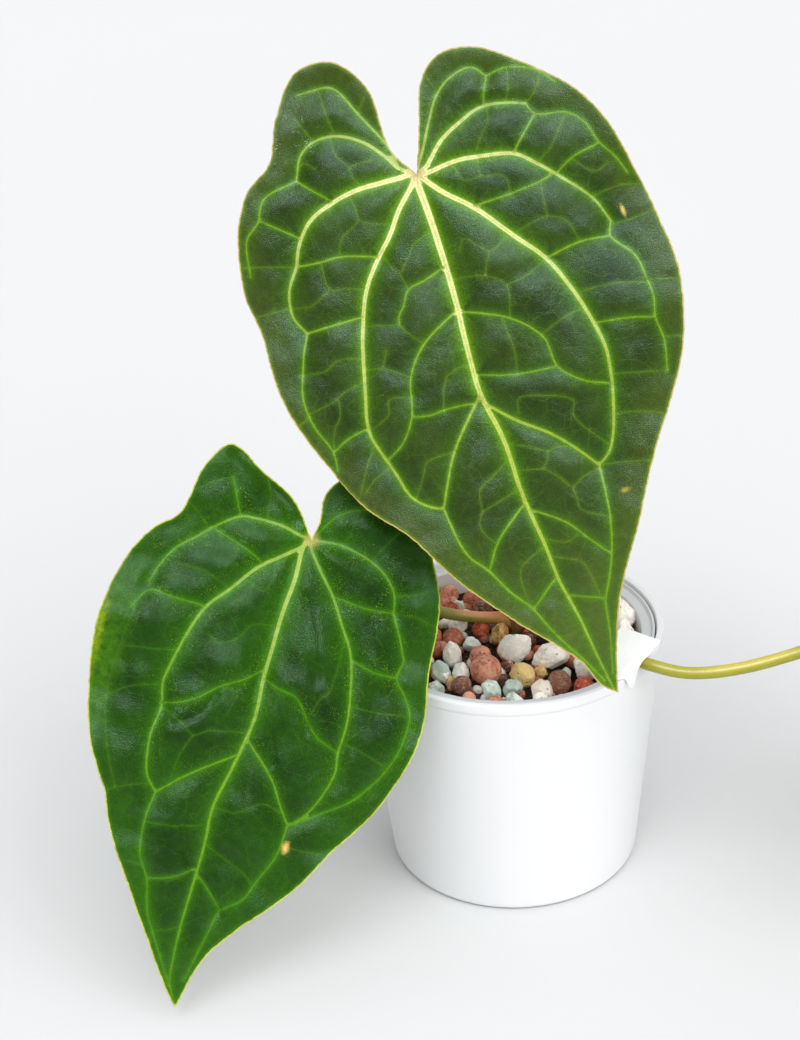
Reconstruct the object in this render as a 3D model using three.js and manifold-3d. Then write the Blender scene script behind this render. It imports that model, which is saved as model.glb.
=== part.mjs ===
// Potted anthurium hybrid: a young aroid with three heart-shaped leaves, growing in a mix of
// mineral stones in a grey nursery pot, which stands in a white tapered cover pot.
// Units are millimetres, +Z is up and the origin is the centre of the cover pot's underside.
// Seen from the front, which looks along +Y, the upper leaf faces the viewer, the lower leaf
// hangs in front of the pot on the left and the third leaf stands out to the right.
import * as THREE from 'three';
import { mergeVertices } from 'three/addons/utils/BufferGeometryUtils.js';
import Module from 'manifold-3d';

// Driving dimensions of the cover pot
const POT_HEIGHT = 110;
const RIM_RADIUS = 65;
const BASE_RADIUS = 54;
const POT_WALL = 2.6;
const POT_FLOOR = 4;
const POT_EDGE = 3;
const LIP_HEIGHT = 5;
const LIP_STEP = 0.3;

// Nursery pot inside it: a taper with a broad flat rim, which ends just below the white rim
const PIECE_GAP = 0.3;
const LINER_TOP = 108.8;
const LINER_LEDGE = 107.4;
const LINER_RIM_RADIUS = 61.7;
const LINER_BEAD_RADIUS = 60;
const LINER_MOUTH_RADIUS = 56;
const LINER_FOOT_RADIUS = 46;
const LINER_WALL = 1.2;
const LINER_FLANGE = 1.6;
const DRAIN_HOLES = 4;
const DRAIN_RADIUS = 4;
const DRAIN_RING = 28;

// Stone bed and the loose stones on top of it
const BED_EDGE_Z = 97;
const BED_MIDDLE_Z = 99;
const STONE_COUNT = 58;
const STONE_SMALL = 7;
const STONE_LARGE = 13;
const STONE_REACH = 54;

// Crown, roots and petioles
const CROWN = new THREE.Vector3(5, 13, 0);
const CROWN_RADIUS = 6.5;
const CROWN_FOOT_Z = 88;
const CROWN_TOP_Z = 112;
const PETIOLE_RADIUS = 2.5;
const ROOT_COUNT = 5;
const ROOT_RADIUS = 3;
const ROOT_TAPER = 1.2;
const ROOT_TIP_RADIUS = 2.4;
const ROOT_TOP_Z = 87.7;
const ROOT_END_Z = 22;

// Leaf blades
const BLADE_THICKNESS = 0.9;
const BLADE_MESH = 7.4;
const BLADE_ROWS = 36;
const BLADE_COLUMNS = 14;

// Blank sheet over the right petiole at the rim
const PAD_PLACE = new THREE.Vector3(54, -38.6, 112.4);
const PAD_TURN = -38.5;
const PAD_INNER = -17;
const PAD_OUTER = 2;
const PAD_NEAR = -10;
const PAD_FAR = 9;
const PAD_THICKNESS = 0.9;

const wasm = await Module();
wasm.setup();

const group = new THREE.Group();
const degrees = THREE.MathUtils.degToRad;

function addPiece(name, geometry, color, roughness) {
  const material = new THREE.MeshStandardMaterial({ color, roughness, metalness: 0 });
  const mesh = new THREE.Mesh(geometry, material);
  mesh.name = name;
  group.add(mesh);
  return mesh;
}

// A closed mesh as a solid that can be joined and cut
function toSolid(geometry) {
  const bare = geometry.clone();
  bare.deleteAttribute('normal');
  bare.deleteAttribute('uv');
  const merged = mergeVertices(bare, 1e-4);
  const vertProperties = new Float32Array(merged.attributes.position.array);
  const triVerts = new Uint32Array(merged.index.array);
  return new wasm.Manifold(new wasm.Mesh({ numProp: 3, vertProperties, triVerts }));
}

function toGeometry(solid) {
  const { vertProperties, triVerts } = solid.getMesh();
  const geometry = new THREE.BufferGeometry();
  geometry.setAttribute('position', new THREE.BufferAttribute(new Float32Array(vertProperties), 3));
  geometry.setIndex(new THREE.BufferAttribute(new Uint32Array(triVerts), 1));
  return geometry;
}

function joinAll(geometries) {
  return geometries.map(toSolid).reduce((whole, part) => whole.add(part));
}

// Repeatable random numbers between 0 and 1
function seededRandom(seed) {
  let state = seed;
  return () => {
    state = (state * 1664525 + 1013904223) % 4294967296;
    return state / 4294967296;
  };
}

// A body turned round the pot's axis from a profile of [radius, height]
function turned(profile, segments) {
  const points = profile.map(([radius, height]) => new THREE.Vector2(radius, height));
  return new THREE.LatheGeometry(points, segments).rotateX(Math.PI / 2);
}

// A round stalk along a smooth curve through the points, with its radius given along it
function stalk(points, radiusAt, steps, sides) {
  const curve = new THREE.CatmullRomCurve3(points);
  const frames = curve.computeFrenetFrames(steps, false);
  const vertices = [];
  const faces = [];
  for (let step = 0; step <= steps; step += 1) {
    const centre = curve.getPointAt(step / steps);
    const radius = radiusAt(step / steps);
    for (let side = 0; side < sides; side += 1) {
      const angle = (2 * Math.PI * side) / sides;
      const across = frames.normals[step].clone().multiplyScalar(Math.cos(angle) * radius);
      const along = frames.binormals[step].clone().multiplyScalar(Math.sin(angle) * radius);
      vertices.push(centre.clone().add(across).add(along));
    }
  }
  for (let step = 0; step < steps; step += 1) {
    for (let side = 0; side < sides; side += 1) {
      const next = (side + 1) % sides;
      const low = step * sides;
      const high = low + sides;
      faces.push([low + side, low + next, high + next], [low + side, high + next, high + side]);
    }
  }
  for (let side = 1; side < sides - 1; side += 1) {
    const last = steps * sides;
    faces.push([0, side + 1, side], [last, last + side, last + side + 1]);
  }
  return fromFaces(vertices, faces);
}

function fromFaces(vertices, faces) {
  const geometry = new THREE.BufferGeometry();
  geometry.setFromPoints(vertices);
  geometry.setIndex(faces.flat());
  return geometry;
}

// The white cover pot, with a soft edge round its foot and a faint lip
function coverPot() {
  const slope = (RIM_RADIUS - BASE_RADIUS) / POT_HEIGHT;
  const outside = (z) => BASE_RADIUS + slope * z;
  const profile = [[0, 0], [BASE_RADIUS - POT_EDGE, 0]];
  for (const turn of [30, 60]) {
    const angle = degrees(turn);
    const radius = outside(POT_EDGE) - POT_EDGE * (1 - Math.sin(angle));
    profile.push([radius, POT_EDGE * (1 - Math.cos(angle))]);
  }
  const lip = POT_HEIGHT - LIP_HEIGHT;
  profile.push([outside(POT_EDGE), POT_EDGE], [outside(lip) - LIP_STEP, lip]);
  profile.push([outside(lip), lip + LIP_STEP], [RIM_RADIUS, POT_HEIGHT]);
  profile.push([RIM_RADIUS - POT_WALL, POT_HEIGHT]);
  profile.push([outside(POT_FLOOR) - POT_WALL, POT_FLOOR], [0, POT_FLOOR]);
  return turned(profile, 48);
}

const linerFloor = POT_FLOOR + PIECE_GAP;
const linerUnder = LINER_LEDGE - LINER_FLANGE;

function linerInside(z) {
  const share = (z - linerFloor) / (LINER_LEDGE - linerFloor);
  return THREE.MathUtils.lerp(LINER_FOOT_RADIUS - LINER_WALL, LINER_MOUTH_RADIUS, share);
}

// The grey nursery pot, with drain holes in its floor
function nurseryPot() {
  const wallUnder = linerInside(linerUnder) + LINER_WALL;
  const profile = [
    [0, linerFloor], [LINER_FOOT_RADIUS, linerFloor],
    [wallUnder, linerUnder], [LINER_RIM_RADIUS, linerUnder],
    [LINER_RIM_RADIUS, LINER_TOP], [LINER_RIM_RADIUS - 1, LINER_TOP],
    [LINER_BEAD_RADIUS, LINER_LEDGE], [LINER_MOUTH_RADIUS, LINER_LEDGE],
    [linerInside(linerFloor + LINER_WALL), linerFloor + LINER_WALL], [0, linerFloor + LINER_WALL],
  ];
  let pot = toSolid(turned(profile, 48));
  for (let hole = 0; hole < DRAIN_HOLES; hole += 1) {
    const angle = (2 * Math.PI * (hole + 0.5)) / DRAIN_HOLES;
    const drill = new THREE.CylinderGeometry(DRAIN_RADIUS, DRAIN_RADIUS, 4 * LINER_WALL, 12);
    drill.rotateX(Math.PI / 2);
    drill.translate(DRAIN_RING * Math.cos(angle), DRAIN_RING * Math.sin(angle), linerFloor);
    pot = pot.subtract(toSolid(drill));
  }
  return toGeometry(pot);
}

// The crown: a short stem that swells into the sheaths of the petioles
function crownShape(extra) {
  const foot = CROWN_FOOT_Z - extra;
  const profile = [
    [0, foot], [CROWN_RADIUS - 1.5 + extra, foot], [CROWN_RADIUS + extra, foot + 6],
    [CROWN_RADIUS + extra, 101], [CROWN_RADIUS - 1.5 + extra, 107],
    [CROWN_RADIUS - 4 + extra, CROWN_TOP_Z], [0, CROWN_TOP_Z + extra],
  ];
  return turned(profile, 14).translate(CROWN.x, CROWN.y, 0);
}

// Thick roots that spread from below the crown towards the foot of the pot
function rootShapes(extra) {
  const shapes = [];
  const knot = CROWN_RADIUS - 2;
  const collar = new THREE.SphereGeometry(knot + extra, 10, 6);
  shapes.push(collar.translate(CROWN.x, CROWN.y, ROOT_TOP_Z - knot));
  for (let root = 0; root < ROOT_COUNT; root += 1) {
    const angle = (2 * Math.PI * root) / ROOT_COUNT + 0.4;
    const reach = 26 + 6 * Math.sin(3 * root);
    const end = ROOT_END_Z + 9 * root;
    const along = (share, bend) => new THREE.Vector3(
      CROWN.x * (1 - share) + reach * share * Math.cos(angle + bend),
      CROWN.y * (1 - share) + reach * share * Math.sin(angle + bend),
      THREE.MathUtils.lerp(ROOT_TOP_Z - knot, end, share),
    );
    const points = [along(0, 0), along(0.35, 0.5), along(0.7, -0.2), along(1, 0.3)];
    shapes.push(stalk(points, (share) => ROOT_RADIUS - ROOT_TAPER * share + extra, 5, 6));
    const tip = new THREE.SphereGeometry(ROOT_TIP_RADIUS + extra, 8, 6);
    shapes.push(tip.translate(points[3].x, points[3].y, points[3].z));
  }
  return shapes;
}

// Larger stones, where they lie in view: [x, y, diameter]
const VIEW_STONES = [
  [-10, -24, 14.6], [2, -9, 14.8], [17, -15, 15.5], [-24, -11, 11], [-8, -38, 10],
  [5, -28, 11], [13, -39, 10.4], [20, -34, 11.6], [30, -36, 9.8], [31, -24, 11], [-24, 3, 10.4],
  [-20, -33, 9], [-16, -1, 7.5], [-4, 4, 10.5], [-16, 37, 9], [-26, 44, 9], [-22, 15, 10.4],
  [45, 17, 13], [47, 3, 12], [-31, -34, 8.4], [2, -46, 8.6],
];

// All loose stones: the ones in view, then others thrown in wherever there is room
function stonePlaces() {
  const random = seededRandom(7);
  const places = VIEW_STONES.map(([x, y, size]) => ({ x, y, size }));
  for (let tries = 0; places.length < STONE_COUNT && tries < 6000; tries += 1) {
    const size = THREE.MathUtils.lerp(STONE_SMALL, STONE_LARGE, random());
    const radius = (STONE_REACH - size / 2) * Math.sqrt(random());
    const angle = 2 * Math.PI * random();
    const place = { x: radius * Math.cos(angle), y: radius * Math.sin(angle), size };
    const apart = (other) => Math.hypot(other.x - place.x, other.y - place.y);
    const free = places.every((other) => apart(other) > 0.42 * (other.size + size));
    const crown = Math.hypot(CROWN.x - place.x, CROWN.y - place.y);
    if (free && crown > CROWN_RADIUS + 1 + size / 2) places.push(place);
  }
  return places;
}

// Ways kept clear through the stones, for the crown and the roots
function rootSpace() {
  const bore = CROWN_RADIUS + 0.5;
  const stem = new THREE.CylinderGeometry(bore, bore, 36, 14);
  stem.rotateX(Math.PI / 2).translate(CROWN.x, CROWN.y, CROWN_FOOT_Z + 14);
  return joinAll([stem, ...rootShapes(PIECE_GAP)]);
}

// The stone bed, with its top stones as relief
function substrate() {
  const foot = linerFloor + LINER_WALL + PIECE_GAP;
  const profile = [
    [0, foot], [linerInside(foot) - PIECE_GAP, foot],
    [linerInside(BED_EDGE_Z) - PIECE_GAP, BED_EDGE_Z], [30, BED_MIDDLE_Z], [0, BED_MIDDLE_Z],
  ];
  let bed = toSolid(turned(profile, 40));
  const random = seededRandom(11);
  for (const { x, y, size } of stonePlaces()) {
    const stone = new THREE.IcosahedronGeometry(size / 2, 0);
    stone.scale(1, 0.8 + 0.2 * random(), 0.85);
    stone.rotateX(6 * random()).rotateZ(6 * random());
    const edge = Math.hypot(x, y) / STONE_REACH;
    stone.translate(x, y, BED_MIDDLE_Z + 0.25 * size - 1.5 * edge);
    bed = bed.add(toSolid(stone));
  }
  const inside = turned([[0, 0], [STONE_REACH + 0.8, 0], [STONE_REACH + 0.8, 120], [0, 120]], 40);
  return toGeometry(bed.intersect(toSolid(inside)).subtract(rootSpace()));
}

// A smooth open line through flat points, cut into steps of about the given length
function smoothLine(points, step) {
  const curve = new THREE.CatmullRomCurve3(
    points.map(([x, y]) => new THREE.Vector3(x, y, 0)), false, 'centripetal');
  const count = Math.max(2, Math.round(curve.getLength() / step));
  return curve.getSpacedPoints(count).map((point) => new THREE.Vector2(point.x, point.y));
}

function isInside(point, outline) {
  let inside = false;
  outline.forEach((a, index) => {
    const b = outline[(index + 1) % outline.length];
    const crosses = (a.y > point.y) !== (b.y > point.y);
    const x = a.x + ((point.y - a.y) * (b.x - a.x)) / (b.y - a.y);
    if (crosses && point.x < x) inside = !inside;
  });
  return inside;
}

// Delaunay triangles of flat points, by adding the points one at a time
function triangulate(points) {
  const far = 1e4;
  const corners = [[-far, -far], [far, -far], [0, far]].map(([x, y]) => new THREE.Vector2(x, y));
  const all = [...points, ...corners];
  const circled = (a, b, c) => {
    const [pa, pb, pc] = [all[a], all[b], all[c]];
    const d = 2 * (pa.x * (pb.y - pc.y) + pb.x * (pc.y - pa.y) + pc.x * (pa.y - pb.y));
    const [sa, sb, sc] = [pa.lengthSq(), pb.lengthSq(), pc.lengthSq()];
    const x = (sa * (pb.y - pc.y) + sb * (pc.y - pa.y) + sc * (pa.y - pb.y)) / d;
    const y = (sa * (pc.x - pb.x) + sb * (pa.x - pc.x) + sc * (pb.x - pa.x)) / d;
    const reach = (pa.x - x) ** 2 + (pa.y - y) ** 2;
    return { ids: d > 0 ? [a, b, c] : [a, c, b], x, y, reach };
  };
  const count = points.length;
  let triangles = [circled(count, count + 1, count + 2)];
  points.forEach((point, id) => {
    const hit = (t) => (point.x - t.x) ** 2 + (point.y - t.y) ** 2 < t.reach;
    const edges = new Map();
    for (const triangle of triangles.filter(hit)) {
      const [a, b, c] = triangle.ids;
      for (const [from, to] of [[a, b], [b, c], [c, a]]) {
        if (!edges.delete(`${to} ${from}`)) edges.set(`${from} ${to}`, [from, to]);
      }
    }
    triangles = triangles.filter((triangle) => !hit(triangle));
    for (const [from, to] of edges.values()) triangles.push(circled(from, to, id));
  });
  return triangles.map((triangle) => triangle.ids).filter((ids) => Math.max(...ids) < count);
}

// How far a blade stands off its flat plane: it arches from lobes to tip, rises beside the
// midrib, rolls back towards its margins and waves along them
function bladeHeight(leaf, x, y) {
  const along = THREE.MathUtils.clamp(-y / leaf.length, 0, 1);
  const across = (x - leaf.bow * Math.sin(Math.PI * along)) / leaf.halfWidth;
  const arch = (-y - leaf.archTop) / leaf.length;
  const phase = across > 0 ? leaf.rightPhase : leaf.leftPhase;
  const wave = Math.sin((2 * Math.PI * y) / leaf.waveLength + phase);
  return -leaf.arch * arch ** 2 + leaf.keel * (1 - Math.exp(-3 * Math.abs(across)))
    + (leaf.wave * wave - leaf.roll) * across ** 2;
}

// A leaf blade: flat points on its margin, its veins and between them, all lifted to the
// blade's form. Veins are valleys on the upper face and raised ribs on the lower one.
function bladeShape(leaf) {
  const right = smoothLine(leaf.rightMargin, BLADE_MESH * 0.8);
  const left = smoothLine(leaf.leftMargin, BLADE_MESH * 0.8);
  const outline = [...right, ...left.reverse().slice(1, -1)];
  const apart = (point, others) => Math.min(...others.map((other) => other.distanceTo(point)));
  const points = [...outline];
  const rib = outline.map(() => 0);
  const depth = outline.map(() => 0);
  for (const vein of leaf.veins) {
    smoothLine(vein.path, BLADE_MESH * 0.8).forEach((point, index, line) => {
      const fade = 1 - index / line.length;
      if (!isInside(point, outline) || apart(point, points) < BLADE_MESH * 0.35) return;
      points.push(point);
      rib.push(0.3 + vein.rib * fade);
      depth.push(leaf.puff);
    });
  }
  const veinCount = points.length;
  const row = BLADE_MESH * 0.866;
  const random = seededRandom(3);
  for (let j = -BLADE_ROWS; j <= BLADE_ROWS / 3; j += 1) {
    for (let i = -BLADE_COLUMNS; i <= BLADE_COLUMNS; i += 1) {
      const x = (i + (j & 1) / 2 + 0.1 * random()) * BLADE_MESH;
      const point = new THREE.Vector2(x, (j + 0.1 * random()) * row);
      const clear = apart(point, points.slice(0, veinCount)) > BLADE_MESH * 0.55;
      if (!clear || !isInside(point, outline)) continue;
      points.push(point);
      rib.push(0);
      depth.push(0);
    }
  }
  const middle = (ids) => ids.reduce((sum, id) => sum.add(points[id]), new THREE.Vector2())
    .divideScalar(3);
  const faces = triangulate(points).filter((ids) => isInside(middle(ids), outline));
  return thicken(leaf, points, faces, rib, depth);
}

// Both faces of a blade from the same triangles, closed by a wall round the margin
function thicken(leaf, points, faces, rib, depth) {
  const count = points.length;
  const half = BLADE_THICKNESS / 2;
  const level = points.map(({ x, y }, id) => bladeHeight(leaf, x, y) - depth[id]);
  const upper = points.map(({ x, y }, id) => new THREE.Vector3(x, y, level[id] + half));
  const lower = points.map(({ x, y }, id) => new THREE.Vector3(x, y, level[id] - half - rib[id]));
  const edges = new Map();
  const skin = [];
  for (const [a, b, c] of faces) {
    skin.push([a, b, c], [count + a, count + c, count + b]);
    for (const [from, to] of [[a, b], [b, c], [c, a]]) {
      if (!edges.delete(`${to} ${from}`)) edges.set(`${from} ${to}`, [from, to]);
    }
  }
  for (const [from, to] of edges.values()) {
    skin.push([from, count + from, count + to], [from, count + to, to]);
  }
  return fromFaces([...upper, ...lower], skin);
}

// Upper leaf, flat: the sinus where the petiole joins is the origin and the tip is below it
const upperLeaf = {
  length: 211, bow: -9, halfWidth: 90, archTop: 70, arch: 22, keel: 3, roll: 8,
  wave: 2.5, waveLength: 75, leftPhase: 0.5, rightPhase: 2, puff: 1.2,
  leftMargin: [
    [0, 0], [-6, 12], [-6, 37], [-15, 51], [-30, 53], [-42, 41], [-51, 25], [-63, 18], [-73, 3],
    [-79, -18], [-78, -35], [-79, -56], [-76, -77], [-64, -110], [-52, -126], [-40, -150],
    [-26, -171], [-9, -194], [-5, -206], [0, -211],
  ],
  rightMargin: [
    [0, 0], [7, 16], [14, 32], [23, 38], [36, 36], [52, 23], [66, 7], [73, -9], [76, -28],
    [78, -49], [78, -70], [70, -95], [59, -112], [46, -129], [31, -152], [15, -175], [5, -197],
    [0, -211],
  ],
  veins: [
    { rib: 1.8, path: [[0, -6], [-3, -48], [-7, -85], [-6, -127], [-5, -162], [-1, -205]] },
    { rib: 1.4, path: [[-3, -5], [-18, -18], [-38, -42], [-52, -83], [-46, -112], [-33, -142], [-7, -195]] },
    { rib: 1.4, path: [[1, -4], [16, -20], [39, -61], [43, -86], [25, -126], [18, -158], [6, -187]] },
    { rib: 1.1, path: [[-4, 1], [-34, 2], [-56, -15], [-64, -32], [-71, -63], [-69, -93]] },
    { rib: 1.1, path: [[3, -1], [25, -3], [48, -19], [61, -43], [66, -75], [61, -102]] },
    { rib: 0.9, path: [[4, 3], [23, 12], [47, 9], [67, -14], [71, -22]] },
    { rib: 0.9, path: [[-5, 4], [-15, 19], [-33, 26], [-44, 15], [-63, 6]] },
    { rib: 0.8, path: [[5, 7], [18, 25], [37, 24], [55, 19]] },
    { rib: 0.8, path: [[-6, 10], [-13, 30], [-32, 45]] },
    { rib: 0.4, path: [[-8, -56], [-29, -70], [-36, -88], [-47, -95]] },
    { rib: 0.4, path: [[-9, -88], [-24, -102], [-34, -119]] },
    { rib: 0.4, path: [[-1, -55], [23, -74], [40, -97]] },
    { rib: 0.5, path: [[-4, -92], [13, -109], [24, -125]] },
  ],
};

// Lower leaf, flat, in the same way
const lowerLeaf = {
  length: 194, bow: -4, halfWidth: 70, archTop: 70, arch: 30, keel: 3, roll: 7,
  wave: 2.5, waveLength: 60, leftPhase: 0.5, rightPhase: 2, puff: 1.6,
  leftMargin: [
    [0, 0], [-11, 13], [-27, 21], [-35, 26], [-41, 27], [-48, 16], [-52, -4], [-60, -12],
    [-67, -25], [-71, -47], [-69, -71], [-63, -93], [-55, -108], [-50, -116], [-45, -128],
    [-29, -153], [-16, -172], [-6, -187], [0, -194],
  ],
  rightMargin: [
    [0, 0], [1, 8], [0, 17], [4, 25], [14, 32], [28, 31], [40, 19], [48, 5], [54, -7], [57, -20],
    [59, -40], [62, -55], [61, -72], [54, -95], [41, -116], [32, -133], [14, -156], [5, -171],
    [0, -194],
  ],
  veins: [
    { rib: 1.8, path: [[-1, -5], [-3, -45], [-2, -77], [-7, -111], [-7, -162], [-1, -188]] },
    { rib: 1.4, path: [[-3, -4], [-17, -16], [-36, -47], [-39, -90], [-31, -111], [-30, -136], [-11, -175]] },
    { rib: 1.4, path: [[1, -4], [14, -19], [31, -53], [34, -85], [22, -110], [13, -143], [2, -170]] },
    { rib: 1.1, path: [[-5, 1], [-29, 1], [-50, -18], [-58, -38], [-60, -70]] },
    { rib: 1.1, path: [[3, 0], [25, -2], [39, -19], [48, -36], [54, -60]] },
    { rib: 0.8, path: [[2, 3], [9, 13], [26, 20], [42, 6]] },
    { rib: 0.4, path: [[-4, -89], [-21, -101], [-30, -110]] },
    { rib: 0.4, path: [[0, -84], [11, -94], [21, -109]] },
  ],
};

// Third leaf: the same kind of blade as the upper one, mirrored and smaller
function smaller(leaf, scale) {
  const flip = ([x, y]) => [-scale * x, scale * y];
  const copy = { ...leaf, leftMargin: leaf.rightMargin.map(flip), rightMargin: leaf.leftMargin.map(flip) };
  for (const size of ['length', 'halfWidth', 'archTop', 'waveLength']) copy[size] *= scale;
  copy.bow *= -scale;
  copy.veins = leaf.veins.slice(0, 9).map(({ rib, path }) => ({ rib, path: path.map(flip) }));
  return copy;
}
const rightLeaf = smaller(upperLeaf, 0.8);

// A blade faces the compass direction turn, leans back from upright by 90 - tilt and is
// spun in its own plane
function addBlade(name, leaf, at, turn, tilt, spin, color) {
  const blade = addPiece(name, bladeShape(leaf), color, 0.45);
  blade.rotation.z = degrees(spin);
  const holder = new THREE.Group();
  holder.position.copy(at);
  holder.rotation.set(degrees(tilt), 0, degrees(turn), 'ZXY');
  holder.add(blade);
  group.add(holder);
}

// The sheet over the right petiole, in its own frame: x runs outwards along the petiole
function padHeight(x, y) {
  if (y > 0) return 3.4 + 0.3 * y;
  const corner = THREE.MathUtils.smoothstep(x, -2, 1);
  return 3.4 - 0.034 * y ** 2 - 7 * corner * (y / PAD_NEAR) ** 4;
}

function padShape() {
  const columns = 8;
  const rows = 10;
  const upper = [];
  for (let j = 0; j <= rows; j += 1) {
    for (let i = 0; i <= columns; i += 1) {
      const x = THREE.MathUtils.lerp(PAD_INNER, PAD_OUTER, i / columns);
      const y = THREE.MathUtils.lerp(PAD_NEAR, PAD_FAR, j / rows);
      upper.push(new THREE.Vector3(x, y, padHeight(x, y) + PAD_THICKNESS));
    }
  }
  const lower = upper.map((point) => point.clone().setZ(point.z - PAD_THICKNESS));
  const count = upper.length;
  const skin = [];
  const wall = (a, b) => skin.push([a, count + a, count + b], [a, count + b, b]);
  const at = (i, j) => j * (columns + 1) + i;
  for (let j = 0; j < rows; j += 1) {
    for (let i = 0; i < columns; i += 1) {
      const [a, b, c, d] = [at(i, j), at(i + 1, j), at(i + 1, j + 1), at(i, j + 1)];
      skin.push([a, b, c], [a, c, d]);
      skin.push([count + a, count + c, count + b], [count + a, count + d, count + c]);
    }
  }
  for (let i = 0; i < columns; i += 1) {
    wall(at(i, 0), at(i + 1, 0));
    wall(at(i + 1, rows), at(i, rows));
  }
  for (let j = 0; j < rows; j += 1) {
    wall(at(columns, j), at(columns, j + 1));
    wall(at(0, j + 1), at(0, j));
  }
  return fromFaces([...upper, ...lower], skin);
}

// Routes of the three petioles, from the crown to the sinus of each leaf
const route = (...points) => points.map(([x, y, z]) => new THREE.Vector3(x, y, z));
const upperRoute = route(
  [5, 13.5, 112.8], [3.5, 17, 135], [-7, 26, 190], [-17, 21, 245], [-25, 12, 288],
  [-27.5, 4, 302], [-28.4, -5.3, 306.1],
);
const lowerRoute = route(
  [-0.8, 11.5, 105], [-15, 10, 107.6], [-28, 7, 112], [-48, -4, 130], [-66, -19, 151],
  [-76, -31, 165], [-77.6, -37, 170], [-76.75, -44.3, 173.2],
);
const rightRoute = route(
  [9.4, 7.8, 105], [28, -13, 109.5], [44, -30, 112.6], [52, -37, 112.8], [57, -41, 112.8], [70, -45, 111.4],
  [85, -47, 113], [105, -47, 117.6], [140, -45, 130], [168, -39, 142], [184, -34, 150],
  [189.2, -36.5, 152.6], [194.3, -43.2, 158.1],
);

addPiece('outer_pot', coverPot(), 0xf4f4f2, 0.45);
addPiece('inner_pot', nurseryPot(), 0xb4b7ba, 0.5);
addPiece('mineral_substrate', substrate(), 0xa08474, 0.9);
addPiece('crown', crownShape(0), 0x8a7a45, 0.6);
addPiece('roots', toGeometry(joinAll(rootShapes(0))), 0xcdbb98, 0.8);
const swelling = (share) => PETIOLE_RADIUS * (1 + 0.25 * THREE.MathUtils.smoothstep(share, 0.9, 1));
addPiece('upper_petiole', stalk(upperRoute, swelling, 22, 8), 0x7d8f3a, 0.5);
addPiece('lower_petiole', stalk(lowerRoute, swelling, 18, 8), 0x8c8a3c, 0.5);
addPiece('right_petiole', stalk(rightRoute, swelling, 26, 8), 0x9aa33c, 0.5);
addBlade('upper_leaf', upperLeaf, new THREE.Vector3(-30, -10, 311), -7, 69, 22, 0x3c5f26);
addBlade('lower_leaf', lowerLeaf, new THREE.Vector3(-75, -50, 179), 7, 65, -21, 0x2f6b22);
addBlade('right_leaf', rightLeaf, new THREE.Vector3(196, -46, 164), 38, 56, 6, 0x3f6626);
const pad = addPiece('petiole_pad', padShape(), 0xf6f4ef, 0.8);
pad.position.copy(PAD_PLACE);
pad.rotation.z = degrees(PAD_TURN);

export default group;
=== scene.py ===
"""Potted anthurium hybrid: a young aroid with three heart-shaped, pale-veined leaves.

It grows in a mix of mineral stones in a grey nursery pot, which stands in a white cover pot.
Lengths are written in millimetres and multiplied by MM where a mesh is made. +Z is up, the
front looks along +Y and the origin is the centre of the cover pot's underside.
"""
import math

import bpy
import numpy as np
from mathutils import Matrix, Vector
from mathutils.geometry import delaunay_2d_cdt
from mathutils.kdtree import KDTree


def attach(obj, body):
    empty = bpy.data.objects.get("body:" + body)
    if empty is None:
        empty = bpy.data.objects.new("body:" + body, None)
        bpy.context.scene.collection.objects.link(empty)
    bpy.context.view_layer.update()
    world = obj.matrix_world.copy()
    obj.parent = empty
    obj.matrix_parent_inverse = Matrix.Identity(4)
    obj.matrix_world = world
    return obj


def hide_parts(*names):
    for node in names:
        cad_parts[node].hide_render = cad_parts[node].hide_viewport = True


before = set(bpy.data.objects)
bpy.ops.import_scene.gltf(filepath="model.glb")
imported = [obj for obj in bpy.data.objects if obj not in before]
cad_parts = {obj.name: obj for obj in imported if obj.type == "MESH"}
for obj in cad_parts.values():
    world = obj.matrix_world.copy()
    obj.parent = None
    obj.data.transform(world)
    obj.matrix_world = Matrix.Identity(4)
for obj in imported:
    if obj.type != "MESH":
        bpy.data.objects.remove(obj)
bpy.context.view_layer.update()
MM = 0.001

# White cover pot: matt white plastic, a thin-walled taper with a soft foot edge and a faint
# lip line below its rim. It is turned from one profile and stands on its flat underside.
POT_HEIGHT = 110
RIM_RADIUS = 65
BASE_RADIUS = 54
POT_WALL = 2.6
POT_FLOOR = 4
POT_EDGE = 3
LIP_HEIGHT = 5
LIP_STEP = 0.09
RIM_ROUND = 0.5
POT_SEGMENTS = 192
OUTSIDE_HEIGHTS = (12, 40, 75, 98)
INSIDE_HEIGHTS = (90, 50, POT_FLOOR + 2)


def colour(red, green, blue):
    """A screen colour, 0 to 255, as Blender's linear RGBA."""
    def linear(value):
        share = value / 255
        return share / 12.92 if share <= 0.04045 else ((share + 0.055) / 1.055) ** 2.4
    return (linear(red), linear(green), linear(blue), 1.0)


def put(tree, kind, inputs=(), out=0, **settings):
    """Adds a node, sets or links its inputs by name or by order, and returns one output."""
    node = tree.nodes.new(kind)
    for name, value in settings.items():
        setattr(node, name, value)
    for key, value in inputs.items() if isinstance(inputs, dict) else enumerate(inputs):
        if isinstance(value, bpy.types.NodeSocket):
            tree.links.new(value, node.inputs[key])
        elif value is not None:
            node.inputs[key].default_value = value
    return node.outputs[out]


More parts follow.
